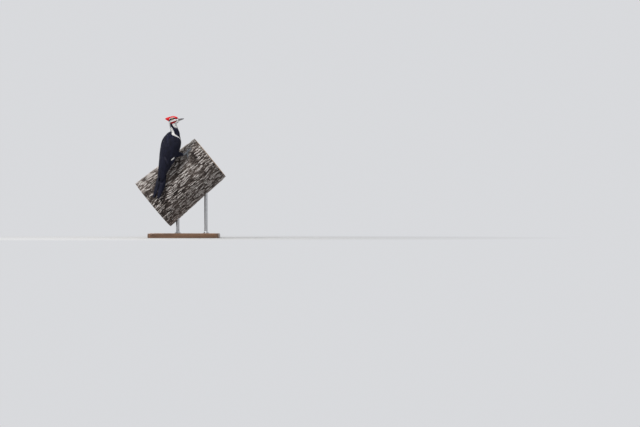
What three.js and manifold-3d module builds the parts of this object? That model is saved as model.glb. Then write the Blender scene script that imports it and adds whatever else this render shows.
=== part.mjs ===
// Pileated woodpecker clinging to a cut length of sloping limb, on a plain display stand.
// Millimetres, +Z up, origin at the centre of the stand base's underside.
import * as THREE from "three";
import { mergeVertices } from "three/addons/utils/BufferGeometryUtils.js";
import Module from "manifold-3d";

const wasm = await Module();
wasm.setup();

// ---------------------------------------------------------------- driving dimensions

const GAP = 0.3; // clearance wherever two pieces meet

// Limb: a tapered cylinder about its own sloping axis, with long furrows in its bark.
const LIMB_SLOPE = 39.5; // degrees above the horizontal, rising towards +X
const LIMB_RADIUS = 128; // at the limb's own origin
const LIMB_TAPER = 0.041; // radius lost for each millimetre up the limb
const LIMB_LOW = -167; // cut ends, along the axis from the limb's origin
const LIMB_HIGH = 188;
const LIMB_CENTRE = new THREE.Vector3(-20, 0, 265);
const FURROWS = 13;
const FURROW_DEPTH = 4;
const HOLLOW_DEPTH = 3;

// Stand.
const BASE = { wide: 340, deep: 280, high: 22, corner: 26, edge: 3 };
const ROD = { radius: 8, inBase: 14, inLimb: 26, low: -30, high: 105 };

// The bird's own frame: X to its right, Y out of its breast, Z towards its head, origin mid-trunk.
const BODY_LEAN = 15.5; // degrees from upright, to its right
const BODY_TURN = 32; // degrees that its right side is swung towards the viewer
const BODY_CENTRE = LIMB_CENTRE.clone().add(new THREE.Vector3(-43.4, -136, 154));

// The body with its folded wings, by place along the spine: half width, back, breast, and the
// spine's own shift towards the breast.
const BODY_STATIONS = [
  { place: -156, wide: 14, back: 7, breast: 4, shift: -5 }, // wing tips
  { place: -132, wide: 19.5, back: 11.5, breast: 9, shift: -6 },
  { place: -108, wide: 24, back: 18, breast: 15.5, shift: -6 }, // rump
  { place: -75, wide: 30.5, back: 28, breast: 27, shift: -4 },
  { place: -40, wide: 38.5, back: 37, breast: 37, shift: -1 },
  { place: 0, wide: 45, back: 43, breast: 44.5, shift: 0 }, // belly
  { place: 30, wide: 47.5, back: 43, breast: 46, shift: 0 },
  { place: 52, wide: 43, back: 39, breast: 43, shift: 0 }, // shoulders
  { place: 72, wide: 33, back: 31, breast: 35, shift: -1 },
  { place: 90, wide: 24, back: 23, breast: 26, shift: -4 }, // root of the neck
];
const TRUNK_END = -134;
const TRUNK_TOP = 90;

// Neck: spine points in the bird's frame with the radius there.
const NECK_STATIONS = [
  { at: [4, 2, 60], radius: 30 },
  { at: [6, 1, 78], radius: 24.5 },
  { at: [3, -4, 95], radius: 21.8 },
  { at: [-5.2, -13, 111], radius: 20.8 },
  { at: [-10, -19, 127], radius: 19.6 },
  { at: [-9, -21, 141], radius: 16.5 },
];
const NECK_TOP_CUT = 0.66; // share of the neck's length at which the head begins
const NECK_ROOT_CUT = 0.3;

// Head: its own frame has X to its right, Y along the bill, Z to its crown, origin mid-skull.
const HEAD_AT = new THREE.Vector3(-8, -20, 142); // in the bird's frame
const HEAD_TURN = 132; // degrees from facing away to facing over the right shoulder
const HEAD_PITCH = 9;
const HEAD_STATIONS = [
  { place: -31, top: 2, chin: -14, wide: 8.5 },
  { place: -24, top: 10.5, chin: -19, wide: 14.5 },
  { place: -10, top: 16, chin: -20, wide: 17 },
  { place: 3, top: 16.3, chin: -20, wide: 17.2 }, // eyes
  { place: 14, top: 13, chin: -19.4, wide: 14.3 },
  { place: 22, top: 8, chin: -17, wide: 10.6 },
  { place: 28, top: 3.6, chin: -13.4, wide: 7.8 }, // root of the bill
];
const CREST_STATIONS = [
  { place: -56, top: 17.8, chin: 13.8, wide: 1.2 }, // tip
  { place: -44, top: 19.8, chin: 6, wide: 4.4 },
  { place: -30, top: 20.5, chin: -2, wide: 8 },
  { place: -14, top: 20.6, chin: -1, wide: 12.5 },
  { place: 2, top: 19.2, chin: 3, wide: 13 },
  { place: 15, top: 14.6, chin: 2, wide: 10 },
  { place: 25, top: 8, chin: 1.5, wide: 5.6 },
];
const BILL = {
  root: 23,
  tip: 67,
  culmen: 2.6, // the ridge's height at the root
  keel: -11.2,
  gape: -4.7,
  wide: 6.9, // half widths at the root and the tip
  tipWide: 1.7,
  tipOver: 1.9, // the upper tip's height over the gape
  tipUnder: 1.5,
  lowerShort: 1.2, // the lower half is this much shorter
  lowerNarrow: 0.8,
  bow: 0.9,
};
const EYE = { across: 11.6, forward: 4, up: 4.4, radius: 5.9 };

// Tail: five pairs of stiff pointed feathers, from the middle pair outwards.
const TAIL_ROOT = -104; // place along the body
const TAIL_END = -240;
const TAIL_CONTACT = { along: -131.6, round: 7, height: 7.5 }; // where the tip meets the limb
const TAIL_FEATHERS = [
  { tip: TAIL_END, across: 12, wide: 9 },
  { tip: -226, across: 15.5, wide: 8.5 },
  { tip: -207, across: 18.5, wide: 7.5 },
  { tip: -187, across: 20.5, wide: 7 },
  { tip: -165, across: 20.5, wide: 6 },
];
const TAIL_ROLL = 0.36; // the tip rolls to lie against the bark
const TAIL_ROOF = 0.008; // the sides curve up towards the bark, by the square of the distance across
const TAIL_THICK = 1.8;
const TAIL_STEP = 0.9; // each pair lies this far under the one before
const TAIL_SPREAD = 1.1; // each pair's roots lie this much farther from the middle than the one before

// Wing: a shell on the body from the bend to the secondaries, and long feathers beyond. Its edges
// run between these degrees from the mid-back, each over a stretch given as shares of its length.
const WING = { top: 68, secondaries: -108, thick: 4.6, thin: 0.8, proud: 1.4 };
const WING_INNER = { bend: 20, end: 2, from: 0, to: 0.3 };
const WING_OUTER = { bend: 104, end: 58, from: 0.35, to: 1 };
const PRIMARY_ROOT = { place: -66, angle: 66 };
const PRIMARIES = [
  { tip: -154, angle: 34, wide: 7.5 },
  { tip: -148, angle: 47, wide: 7.5 },
  { tip: -138, angle: 60, wide: 7 },
  { tip: -124, angle: 74, wide: 6.5 },
];
const PRIMARY_THICK = 1.5;
const PRIMARY_LIFT = 0.5; // clear of the rump
const PRIMARY_STEP = 0.3; // each lies this much nearer the body than the one above

// Legs: places on the limb as distance along it and degrees round it from the viewer's side.
const LEGS = {
  right: { side: 1, along: 119.5, round: 42, hip: [25, 22, -14], heel: [51, 47, -6] },
  left: { side: -1, along: 36, round: 70, hip: [-26, 24, -32], heel: [-46, 60, -50] },
};
const TOES = [
  { name: "1", length: 13, spread: 152, radius: 2.7 },
  { name: "2", length: 20, spread: 20, radius: 2.9 },
  { name: "3", length: 26, spread: -12, radius: 3.1 },
  { name: "4", length: 28, spread: -140, radius: 3 },
];
const THIGH_RADIUS = { hip: 16, heel: 6.2 };
const TARSUS_RADIUS = 3.4;
const FOOT_PAD = 4.8;
const TOE_START = 3; // from the foot's centre to a toe's root
const CLAW = { length: 12.5, radius: 2.1, rise: 2.6 };

// ---------------------------------------------------------------- small tools

const { degToRad, radToDeg, clamp, lerp } = THREE.MathUtils;
const vector = (x, y, z) => new THREE.Vector3(x, y, z);

// A smooth function of place through the stations' values of one key.
function through(stations, key) {
  const sorted = [...stations].sort((a, b) => a.place - b.place);
  const last = sorted.length - 1;
  const slope = (i) => {
    const before = sorted[Math.max(i - 1, 0)];
    const after = sorted[Math.min(i + 1, last)];
    return (after[key] - before[key]) / (after.place - before.place);
  };
  return (place) => {
    let i = 0;
    while (i < last - 1 && place > sorted[i + 1].place) i++;
    const span = sorted[i + 1].place - sorted[i].place;
    const k = clamp((place - sorted[i].place) / span, 0, 1);
    const rest = 1 - k;
    return (
      sorted[i][key] * (1 + 2 * k) * rest * rest +
      sorted[i + 1][key] * (1 + 2 * rest) * k * k +
      slope(i) * span * k * rest * rest -
      slope(i + 1) * span * rest * k * k
    );
  };
}

// 1 along a body, and a quarter ellipse down to 0 over a share of its length at each end.
function rounding(t, startShare, endShare) {
  const near = Math.min(t / startShare, (1 - t) / endShare, 1);
  return Math.sqrt(1 - (1 - near) ** 2);
}

// A closed body from a sphere's grid: pointAt takes the share from pole to pole and the angle round.
function sculpt(around, along, pointAt) {
  const geometry = new THREE.SphereGeometry(1, around, along);
  const { position, uv } = geometry.attributes;
  for (let i = 0; i < position.count; i++) {
    const point = pointAt(1 - uv.getY(i), uv.getX(i) * 2 * Math.PI);
    position.setXYZ(i, point.x, point.y, point.z);
  }
  return geometry;
}

// A closed plate from a box's grid: pointAt takes shares along and across, and 0 under or 1 over.
function plate(along, across, pointAt) {
  const geometry = new THREE.BoxGeometry(1, 1, 1, along, across, 1);
  const { position } = geometry.attributes;
  for (let i = 0; i < position.count; i++) {
    const shares = [position.getX(i) + 0.5, position.getY(i) + 0.5, position.getZ(i) + 0.5];
    const point = pointAt(...shares);
    position.setXYZ(i, point.x, point.y, point.z);
  }
  return geometry;
}

// A round body along a curve, with its radius as a function of the share along it.
function rod(curve, radiusAt, around, along) {
  const frames = curve.computeFrenetFrames(along);
  return sculpt(around, along, (t, angle) => {
    const i = Math.round(t * along);
    const radius = radiusAt(t);
    return curve
      .getPointAt(t)
      .addScaledVector(frames.binormals[i], radius * Math.cos(angle))
      .addScaledVector(frames.normals[i], radius * Math.sin(angle));
  });
}

// Geometry to solid: shared vertices merged, faces turned out.
function solid(geometry) {
  const bare = geometry.index ? geometry.toNonIndexed() : geometry.clone();
  bare.deleteAttribute("normal");
  bare.deleteAttribute("uv");
  const merged = mergeVertices(bare, 1e-3);
  const vertProperties = merged.attributes.position.array;
  const triVerts = new Uint32Array(merged.index.array);
  const made = new wasm.Manifold(new wasm.Mesh({ numProp: 3, vertProperties, triVerts }));
  if (made.volume() > 0) return made;
  return new wasm.Manifold(new wasm.Mesh({ numProp: 3, vertProperties, triVerts: triVerts.reverse() }));
}

const join = (solids) => solids.reduce((all, next) => all.add(next));
const cut = (body, tools) => tools.reduce((left, tool) => left.subtract(tool), body);

// The largest piece of a solid, without the crumbs that a cut may leave.
const mainPiece = (body) => body.decompose().reduce((a, b) => (a.volume() > b.volume() ? a : b));

// A named mesh from a solid.
function piece(name, body, { color, roughness = 0.6, metalness = 0 }) {
  const { vertProperties, triVerts } = mainPiece(body).getMesh();
  const geometry = new THREE.BufferGeometry();
  geometry.setAttribute("position", new THREE.BufferAttribute(vertProperties, 3));
  geometry.setIndex(new THREE.BufferAttribute(triVerts, 1));
  geometry.computeVertexNormals();
  const mesh = new THREE.Mesh(geometry, new THREE.MeshStandardMaterial({ color, roughness, metalness }));
  mesh.name = name;
  return mesh;
}

const FINISH = {
  black: { color: 0x17181d, roughness: 0.55 },
  red: { color: 0xb3122a, roughness: 0.6 },
  white: { color: 0xe9e7e2, roughness: 0.7 },
  horn: { color: 0x6d6f72, roughness: 0.4 },
  iris: { color: 0xe2b93b, roughness: 0.1 },
  foot: { color: 0x85878b, roughness: 0.6 },
  bark: { color: 0x8a8178, roughness: 0.95 },
  walnut: { color: 0x4b2f1f, roughness: 0.45 },
  steel: { color: 0xb8babc, roughness: 0.3, metalness: 1 },
};

// ---------------------------------------------------------------- frames

const birdTurn = new THREE.Quaternion().setFromEuler(
  new THREE.Euler(0, degToRad(BODY_LEAN), degToRad(-BODY_TURN), "YXZ"),
);
const birdFrame = new THREE.Matrix4().compose(BODY_CENTRE, birdTurn, vector(1, 1, 1));
const worldToBird = birdFrame.clone().invert();

const headTurnInWorld = new THREE.Quaternion().setFromEuler(
  new THREE.Euler(degToRad(HEAD_PITCH), 0, degToRad(-HEAD_TURN), "ZXY"),
);
const headTurn = birdTurn.clone().invert().multiply(headTurnInWorld);
const headFrame = new THREE.Matrix4().compose(HEAD_AT, headTurn, vector(1, 1, 1));

const limbAxis = vector(Math.cos(degToRad(LIMB_SLOPE)), 0, Math.sin(degToRad(LIMB_SLOPE)));
const limbUp = vector(-limbAxis.z, 0, limbAxis.x);
const viewer = vector(0, -1, 0);

// A point on the limb, in the world, by distance along it, degrees round it and height over the bark.
function onLimb(along, round, height) {
  const outward = viewer
    .clone()
    .multiplyScalar(Math.cos(degToRad(round)))
    .addScaledVector(limbUp, Math.sin(degToRad(round)));
  return LIMB_CENTRE.clone()
    .addScaledVector(limbAxis, along)
    .addScaledVector(outward, LIMB_RADIUS - LIMB_TAPER * along + height);
}

// The same point in the bird's frame.
const onLimbFromBird = (along, round, height) => onLimb(along, round, height).applyMatrix4(worldToBird);

// ---------------------------------------------------------------- body

const bodyWide = through(BODY_STATIONS, "wide");
const bodyBack = through(BODY_STATIONS, "back");
const bodyBreast = through(BODY_STATIONS, "breast");
const bodyShift = through(BODY_STATIONS, "shift");

// A point on the body's outer form: place along the spine, angle from its right side towards its
// breast, a share of the full section, and a lift off it.
function onBody(place, angle, share, lift) {
  const depth = Math.sin(angle) > 0 ? bodyBreast(place) : bodyBack(place);
  const wide = bodyWide(place) * share + lift;
  return vector(
    wide * Math.cos(angle),
    bodyShift(place) + (depth * share + lift) * Math.sin(angle),
    place,
  );
}

// Degrees from the mid-back towards one side, as an angle for onBody.
const fromBack = (side, degrees) => degToRad(-90 + side * degrees);

function trunkShape(grow) {
  return sculpt(18, 15, (t, angle) => {
    const place = lerp(TRUNK_TOP + grow, TRUNK_END - grow, t);
    return onBody(place, angle, rounding(t, 0.09, 0.16), grow * rounding(t, 0.09, 0.16));
  });
}

// ---------------------------------------------------------------- wings

// Dorsal and ventral edges of the folded wing's shell, in degrees from the mid-back.
function wingEdges(t) {
  const [inner, outer] = [WING_INNER, WING_OUTER].map(({ bend, end, from, to }) =>
    lerp(bend, end, clamp((t - from) / (to - from), 0, 1)),
  );
  const middle = (inner + outer) / 2;
  const half = ((outer - inner) / 2) * rounding(t, 0.16, 0.1);
  return [middle - half, middle + half];
}

function wingShell(side, grow) {
  return plate(8, 5, (t, across, over) => {
    const place = lerp(WING.top + grow, WING.secondaries - grow, t);
    const [inner, outer] = wingEdges(clamp(t, 0.012, 0.985));
    const edge = rounding(across, 0.18, 0.18) * rounding(t, 0.1, 0.08);
    const slack = radToDeg(grow / bodyWide(place));
    const degrees = lerp(inner - slack, outer + slack, across);
    const lift = over ? WING.proud * edge + grow : -lerp(WING.thin, WING.thick, edge) - grow;
    return onBody(place, fromBack(side, degrees), 1, lift);
  });
}

// One long flight feather lying on the body's form from under the shell to its tip.
function primary(side, { tip, angle, wide }, step) {
  return plate(5, 2, (t, across, over) => {
    const place = lerp(PRIMARY_ROOT.place, tip, t);
    const half = wide * rounding(t, 0.2, 0.32) + 0.2;
    const aside = radToDeg(((across * 2 - 1) * half) / bodyWide(place));
    const degrees = lerp(PRIMARY_ROOT.angle, angle, t) + aside;
    const shaft = across === 0.5 ? 0.4 : 0;
    const lift = over ? PRIMARY_LIFT + PRIMARY_THICK + step + shaft : PRIMARY_LIFT + step;
    return onBody(place, fromBack(side, degrees), 1, lift);
  });
}

function wingShape(side) {
  const above = PRIMARIES.length - 1;
  const feathers = PRIMARIES.map((feather, i) => solid(primary(side, feather, PRIMARY_STEP * (above - i))));
  return join([solid(wingShell(side, 0)), ...feathers]);
}

// ---------------------------------------------------------------- tail

// The tail's mid-line leaves the body under the rump and bends down to the bark at its tip.
const tailTip = onLimbFromBird(TAIL_CONTACT.along, TAIL_CONTACT.round, TAIL_CONTACT.height);
const tailLine = new THREE.CatmullRomCurve3([
  vector(-1, -5, TAIL_ROOT),
  vector(0, -6.5, -150),
  vector(0.5, -4.5, -195),
  vector(1, tailTip.y, TAIL_END),
]);

// A point on the tail by place down the body, distance across, and depth under the middle pair.
function onTail(place, across, under) {
  const t = (place - TAIL_ROOT) / (TAIL_END - TAIL_ROOT);
  const centre = tailLine.getPoint(clamp(t, 0, 1));
  const roof = TAIL_ROOF * across * across;
  const roll = TAIL_ROLL * t * across;
  return vector(centre.x + across, centre.y + roof + roll + under, place);
}

function tailFeather(side, { tip, across, wide }, layer) {
  return plate(5, 2, (t, share, over) => {
    const place = lerp(TAIL_ROOT, tip, t);
    const middle = side * lerp(3 + layer * TAIL_SPREAD, across, t ** 0.8);
    const half = wide * (0.35 + 0.65 * Math.min(t / 0.25, 1)) * rounding(t, 0.02, 0.36) + 0.35;
    const shaft = share === 0.5 ? 0.6 : 0;
    const under = TAIL_STEP * layer + (over ? TAIL_THICK * (1 - 0.5 * t) : -shaft * (1 - t));
    return onTail(place, middle + (share * 2 - 1) * half, under);
  });
}

function tailShape() {
  const feathers = TAIL_FEATHERS.flatMap((feather, layer) =>
    [-1, 1].map((side) => solid(tailFeather(side, feather, layer))),
  );
  return join(feathers);
}

// ---------------------------------------------------------------- neck and head

const neckLine = new THREE.CatmullRomCurve3(
  NECK_STATIONS.map(({ at }) => vector(...at)).reverse(),
  false,
  "centripetal",
);

function neckShape() {
  const stations = [...NECK_STATIONS].reverse();
  const places = stations.map(({ radius }, i) => ({ place: i / (stations.length - 1), radius }));
  const radiusAt = through(places, "radius");
  return sculpt(16, 11, (t, angle) => {
    const centre = neckLine.getPoint(t);
    const radius = radiusAt(t) * rounding(t, 0.12, 0.1);
    return vector(centre.x + radius * Math.cos(angle), centre.y + radius * Math.sin(angle), centre.z);
  });
}

// A body along the head's Y axis from stations of its top, its underside and its half width.
function alongBill(stations, { around, along, start, end, grow = 0, box = 2 }) {
  const top = through(stations, "top");
  const chin = through(stations, "chin");
  const wide = through(stations, "wide");
  const places = stations.map(({ place }) => place);
  const first = Math.max(...places) + grow;
  const last = Math.min(...places) - grow;
  const power = 2 / box;
  return sculpt(around, along, (t, angle) => {
    const place = lerp(first, last, t);
    const share = rounding(t, start, end);
    const middle = (top(place) + chin(place)) / 2;
    const high = (top(place) - chin(place)) / 2;
    const across = Math.sign(Math.cos(angle)) * Math.abs(Math.cos(angle)) ** power;
    const up = Math.sign(Math.sin(angle)) * Math.abs(Math.sin(angle)) ** power;
    return vector(-across * (wide(place) + grow) * share, place, middle + up * (high + grow) * share);
  });
}

const skullShape = (grow) =>
  alongBill(HEAD_STATIONS, { around: 16, along: 12, start: 0.1, end: 0.3, grow, box: 2.15 });

const crestShape = () => alongBill(CREST_STATIONS, { around: 10, along: 10, start: 0.1, end: 0.04 });

// Half of the bill: the upper one is a ridged wedge, the lower one a keeled wedge under it.
function billShape(upper, grow) {
  const { root, tip, culmen, keel, gape, wide, tipWide } = BILL;
  const inner = gape + (upper ? GAP / 2 : -GAP / 2);
  const outerRoot = upper ? culmen : keel;
  const outerTip = upper ? gape + BILL.tipOver : gape - BILL.tipUnder;
  const length = upper ? tip : tip - BILL.lowerShort;
  const rootWide = upper ? wide : wide - BILL.lowerNarrow;
  return plate(6, 4, (t, across, over) => {
    const place = lerp(root - grow, length + grow, t);
    const bow = BILL.bow * Math.sin(Math.PI * t);
    const outer = lerp(outerRoot, outerTip, t) + (upper ? bow : -0.5 * bow);
    const half = lerp(rootWide, tipWide, t ** 0.9) + grow;
    const x = (across * 2 - 1) * half;
    const ridge = 1 - Math.abs(across * 2 - 1) ** 1.7;
    const outside = lerp(inner + Math.sign(outer - inner) * 0.7, outer, ridge);
    const isOutside = upper === (over > 0.5);
    const push = (upper ? 1 : -1) * grow;
    return vector(x, place, isOutside ? outside + push : inner - push);
  });
}

const eyeShape = (side, grow) =>
  new THREE.SphereGeometry(EYE.radius + grow, 12, 8)
    .rotateZ(Math.PI / 2)
    .translate(side * EYE.across, EYE.forward, EYE.up);

// ---------------------------------------------------------------- legs

function thighShape({ hip, heel }, grow) {
  const line = new THREE.CatmullRomCurve3([
    vector(...hip),
    vector(...hip).lerp(vector(...heel), 0.5).add(vector(0, 0, 4)),
    vector(...heel),
  ]);
  const radiusAt = (t) =>
    (lerp(THIGH_RADIUS.hip, THIGH_RADIUS.heel, t ** 0.85) + grow) * rounding(t, 0.2, 0.16);
  return rod(line, radiusAt, 12, 8);
}

function tarsusShape({ heel, along, round }, grow) {
  const foot = onLimbFromBird(along, round, FOOT_PAD + GAP);
  const line = new THREE.LineCurve3(vector(...heel), foot);
  const shaft = rod(line, (t) => (TARSUS_RADIUS + grow) * rounding(t, 0.12, 0.12), 8, 5);
  const pad = new THREE.SphereGeometry(FOOT_PAD + grow, 8, 6).translate(foot.x, foot.y, foot.z);
  return solid(shaft).add(solid(pad));
}

// Degrees on the bark from straight up the limb to the bird's own headward direction.
function headward(round) {
  const up = vector(0, 0, 1).applyQuaternion(birdTurn);
  const turn = degToRad(round);
  const roundLimb = limbUp.clone().multiplyScalar(Math.cos(turn)).addScaledVector(viewer, -Math.sin(turn));
  return radToDeg(Math.atan2(up.dot(roundLimb), up.dot(limbAxis)));
}

// A point on the bark at a distance from the foot's centre along a toe's heading.
function onBark({ along, round, side }, spread, distance, height) {
  const heading = degToRad(headward(round) + side * spread);
  const roundStep = (distance * Math.sin(heading)) / (LIMB_RADIUS + height);
  return onLimbFromBird(
    along + distance * Math.cos(heading),
    round + radToDeg(roundStep),
    height,
  );
}

function toeShape(leg, { length, spread, radius }, grow) {
  const knuckles = [0, 0.3, 0.6, 1].map((share, i) =>
    onBark(leg, spread, TOE_START + length * share, radius + GAP + (i === 1 ? 1.2 : 0.2)),
  );
  const line = new THREE.CatmullRomCurve3(knuckles);
  const radiusAt = (t) => {
    const swell = 1 + 0.1 * Math.cos(t * 4 * Math.PI);
    return (radius * lerp(1, 0.72, t) * swell + grow) * rounding(t, 0.1, 0.12);
  };
  return rod(line, radiusAt, 7, 7);
}

function clawShape(leg, { length, spread, radius }) {
  const reach = TOE_START + length - 1;
  const scale = radius / TOES[2].radius;
  const rise = CLAW.rise * scale;
  const points = [0, 0.35, 0.7, 1].map((share) => {
    const height = radius + GAP + rise * Math.sin(Math.PI * 0.85 * share) - (radius - 0.9) * share ** 2;
    return onBark(leg, spread, reach + CLAW.length * scale * share * (1 - 0.12 * share), height);
  });
  const radiusAt = (t) => CLAW.radius * scale * (1 - t) ** 0.75 * rounding(t, 0.08, 0.02) + 0.02;
  return rod(new THREE.CatmullRomCurve3(points), (t) => (t === 0 || t === 1 ? 0 : radiusAt(t)), 6, 6);
}

function legPieces(name, leg, trunk) {
  const thigh = solid(thighShape(leg, 0)).subtract(trunk(GAP));
  const tarsus = tarsusShape(leg, 0).subtract(solid(thighShape(leg, GAP)));
  const pieces = [
    piece("thigh_" + name, thigh, FINISH.black),
    piece("tarsus_" + name, tarsus, FINISH.foot),
  ];
  const earlier = [tarsusShape(leg, GAP)];
  for (const toe of TOES) {
    const body = cut(solid(toeShape(leg, toe, 0)), earlier);
    const claw = solid(clawShape(leg, toe)).subtract(solid(toeShape(leg, toe, GAP)));
    pieces.push(piece(`toe_${name}_${toe.name}`, body, FINISH.foot));
    pieces.push(piece(`claw_${name}_${toe.name}`, claw, FINISH.horn));
    earlier.push(solid(toeShape(leg, toe, GAP)));
  }
  return pieces;
}

// ---------------------------------------------------------------- bird

function birdPieces() {
  const inBird = (geometry) => geometry.applyMatrix4(headFrame);
  const headCore = solid(inBird(skullShape(0)));
  const whole = join([solid(trunkShape(0)), solid(neckShape()), headCore]);

  // Thin cuts part the head from the neck and the neck from the trunk.
  const side = (share, sign) => {
    const normal = neckLine.getTangent(share).multiplyScalar(sign);
    const offset = neckLine.getPoint(share).dot(normal) + GAP / 2;
    return [normal.toArray(), offset];
  };
  const head = whole.trimByPlane(...side(1 - NECK_TOP_CUT, -1));
  const belowHead = whole.trimByPlane(...side(1 - NECK_TOP_CUT, 1));
  const neck = belowHead.trimByPlane(...side(1 - NECK_ROOT_CUT, -1));
  const trunk = belowHead.trimByPlane(...side(1 - NECK_ROOT_CUT, 1));

  const eyes = [-1, 1].map((s) => solid(inBird(eyeShape(s, 0))));
  const bill = [true, false].map((upper) => solid(inBird(billShape(upper, 0))));
  const headTools = [
    ...[-1, 1].map((s) => solid(inBird(eyeShape(s, GAP)))),
    ...[true, false].map((upper) => solid(inBird(billShape(upper, GAP)))),
  ];
  const crest = cut(solid(inBird(crestShape())), [
    solid(inBird(skullShape(GAP))),
    solid(neckShape()),
    ...headTools.slice(2),
  ]);
  const trunkGrown = (grow) => solid(trunkShape(grow));
  const wingRooms = [-1, 1].map((s) => solid(wingShell(s, 2 * GAP)));
  return [
    piece("head", cut(head, headTools), FINISH.black),
    piece("crest", crest, FINISH.red),
    piece("bill_upper", bill[0], FINISH.horn),
    piece("bill_lower", bill[1], FINISH.horn),
    piece("eye_left", eyes[0], FINISH.iris),
    piece("eye_right", eyes[1], FINISH.iris),
    piece("neck", neck, FINISH.white),
    piece("trunk", cut(trunk, wingRooms), FINISH.black),
    piece("wing_left", wingShape(-1), FINISH.black),
    piece("wing_right", wingShape(1), FINISH.black),
    piece("tail", tailShape().subtract(trunkGrown(GAP)), FINISH.black),
    ...Object.entries(LEGS).flatMap(([name, leg]) => legPieces(name, leg, trunkGrown)),
  ];
}

// ---------------------------------------------------------------- limb and stand

// The bark's depth under the limb's full radius: long furrows that wander round it, and hollows.
function barkDepth(along, angle) {
  const wander = 1.6 * Math.sin(along / 55) + 0.9 * Math.sin(along / 23 + 1.3);
  const furrow = 0.5 + 0.5 * Math.sin(FURROWS * angle + wander);
  const hollow = 0.5 + 0.5 * Math.sin(2 * angle + along / 90);
  return FURROW_DEPTH * furrow ** 2 + HOLLOW_DEPTH * hollow;
}

function limbShape() {
  const length = LIMB_HIGH - LIMB_LOW;
  const geometry = new THREE.CylinderGeometry(1, 1, length, 44, 6);
  const { position } = geometry.attributes;
  for (let i = 0; i < position.count; i++) {
    const along = position.getY(i) + (LIMB_LOW + LIMB_HIGH) / 2;
    const angle = Math.atan2(position.getZ(i), position.getX(i));
    const onAxis = Math.hypot(position.getX(i), position.getZ(i)) < 0.5;
    const radius = onAxis ? 0 : LIMB_RADIUS - LIMB_TAPER * along - barkDepth(along, angle);
    position.setXYZ(i, radius * Math.cos(angle), along, radius * Math.sin(angle));
  }
  return geometry
    .rotateX(Math.PI / 2)
    .rotateY(degToRad(90 - LIMB_SLOPE))
    .translate(...LIMB_CENTRE.toArray());
}

// The underside of the limb over a place on the floor.
function undersideAt(x) {
  const { x: run, z: rise } = limbAxis;
  const along = (x - LIMB_CENTRE.x - rise * LIMB_RADIUS) / (run - rise * LIMB_TAPER);
  return LIMB_CENTRE.z + along * rise - run * (LIMB_RADIUS - LIMB_TAPER * along);
}

function rodShape(x, grow) {
  const bottom = BASE.high - ROD.inBase - grow;
  const top = undersideAt(x) + ROD.inLimb + grow;
  return new THREE.CylinderGeometry(ROD.radius + grow, ROD.radius + grow, top - bottom, 16)
    .rotateX(Math.PI / 2)
    .translate(x, 0, (top + bottom) / 2);
}

function baseShape() {
  const { wide, deep, high, corner, edge } = BASE;
  const x = wide / 2 - edge;
  const y = deep / 2 - edge;
  const outline = new THREE.Shape();
  outline.absarc(x - corner, y - corner, corner, 0, Math.PI / 2);
  outline.absarc(corner - x, y - corner, corner, Math.PI / 2, Math.PI);
  outline.absarc(corner - x, corner - y, corner, Math.PI, Math.PI * 1.5);
  outline.absarc(x - corner, corner - y, corner, Math.PI * 1.5, Math.PI * 2);
  const settings = {
    depth: high - 2 * edge,
    bevelSize: edge,
    bevelThickness: edge,
    bevelSegments: 1,
    curveSegments: 3,
  };
  return new THREE.ExtrudeGeometry(outline, settings).translate(0, 0, edge);
}

function standPieces() {
  const places = [ROD.low, ROD.high];
  const room = places.map((x) => solid(rodShape(x, GAP)));
  return [
    piece("perch_limb", cut(solid(limbShape()), room), FINISH.bark),
    piece("stand_base", cut(solid(baseShape()), room), FINISH.walnut),
    piece("stand_rod_low", solid(rodShape(ROD.low, 0)), FINISH.steel),
    piece("stand_rod_high", solid(rodShape(ROD.high, 0)), FINISH.steel),
  ];
}

// ---------------------------------------------------------------- scene graph

const bird = new THREE.Group();
bird.position.copy(BODY_CENTRE);
bird.quaternion.copy(birdTurn);
bird.add(...birdPieces());

const model = new THREE.Group();
model.add(bird, ...standPieces());

export default model;
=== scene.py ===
"""The looks of the pileated woodpecker on its limb and stand: skin, feathers, horn, bark, wood and steel."""

import math

import bmesh
import bpy
import numpy as np
from mathutils import Euler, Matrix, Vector, noise
from mathutils.bvhtree import BVHTree
from mathutils.kdtree import KDTree


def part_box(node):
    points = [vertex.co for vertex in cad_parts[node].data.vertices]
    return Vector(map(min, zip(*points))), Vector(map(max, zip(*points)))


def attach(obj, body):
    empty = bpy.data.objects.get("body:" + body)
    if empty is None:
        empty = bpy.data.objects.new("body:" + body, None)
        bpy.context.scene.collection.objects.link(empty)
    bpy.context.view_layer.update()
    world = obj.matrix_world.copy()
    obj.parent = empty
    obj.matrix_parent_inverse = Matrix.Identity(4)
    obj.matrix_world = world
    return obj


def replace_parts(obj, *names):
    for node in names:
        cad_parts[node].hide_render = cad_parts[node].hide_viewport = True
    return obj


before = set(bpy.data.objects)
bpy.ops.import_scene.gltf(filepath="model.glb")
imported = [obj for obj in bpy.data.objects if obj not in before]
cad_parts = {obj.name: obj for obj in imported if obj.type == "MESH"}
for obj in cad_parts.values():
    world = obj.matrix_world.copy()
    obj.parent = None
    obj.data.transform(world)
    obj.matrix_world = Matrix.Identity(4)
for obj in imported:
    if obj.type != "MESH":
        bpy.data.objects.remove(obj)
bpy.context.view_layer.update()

# ------------------------------------------------------------------ sizes, in millimetres as in the CAD

MM = 0.001
TAU = 2 * math.pi

# Limb and bird frames, as the CAD sets them.
LIMB_CENTRE = np.array([-20.0, 0.0, 265.0])
LIMB_SLOPE = math.radians(39.5)
LIMB_RADIUS, LIMB_TAPER = 128.0, 0.041
LIMB_LOW, LIMB_HIGH = -167.0, 188.0
BODY_CENTRE = LIMB_CENTRE + np.array([-43.4, -136.0, 154.0])
BODY_LEAN, BODY_TURN = math.radians(15.5), math.radians(32)
HEAD_AT = np.array([-8.0, -20.0, 142.0])
HEAD_TURN, HEAD_PITCH = math.radians(132), math.radians(9)

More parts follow.
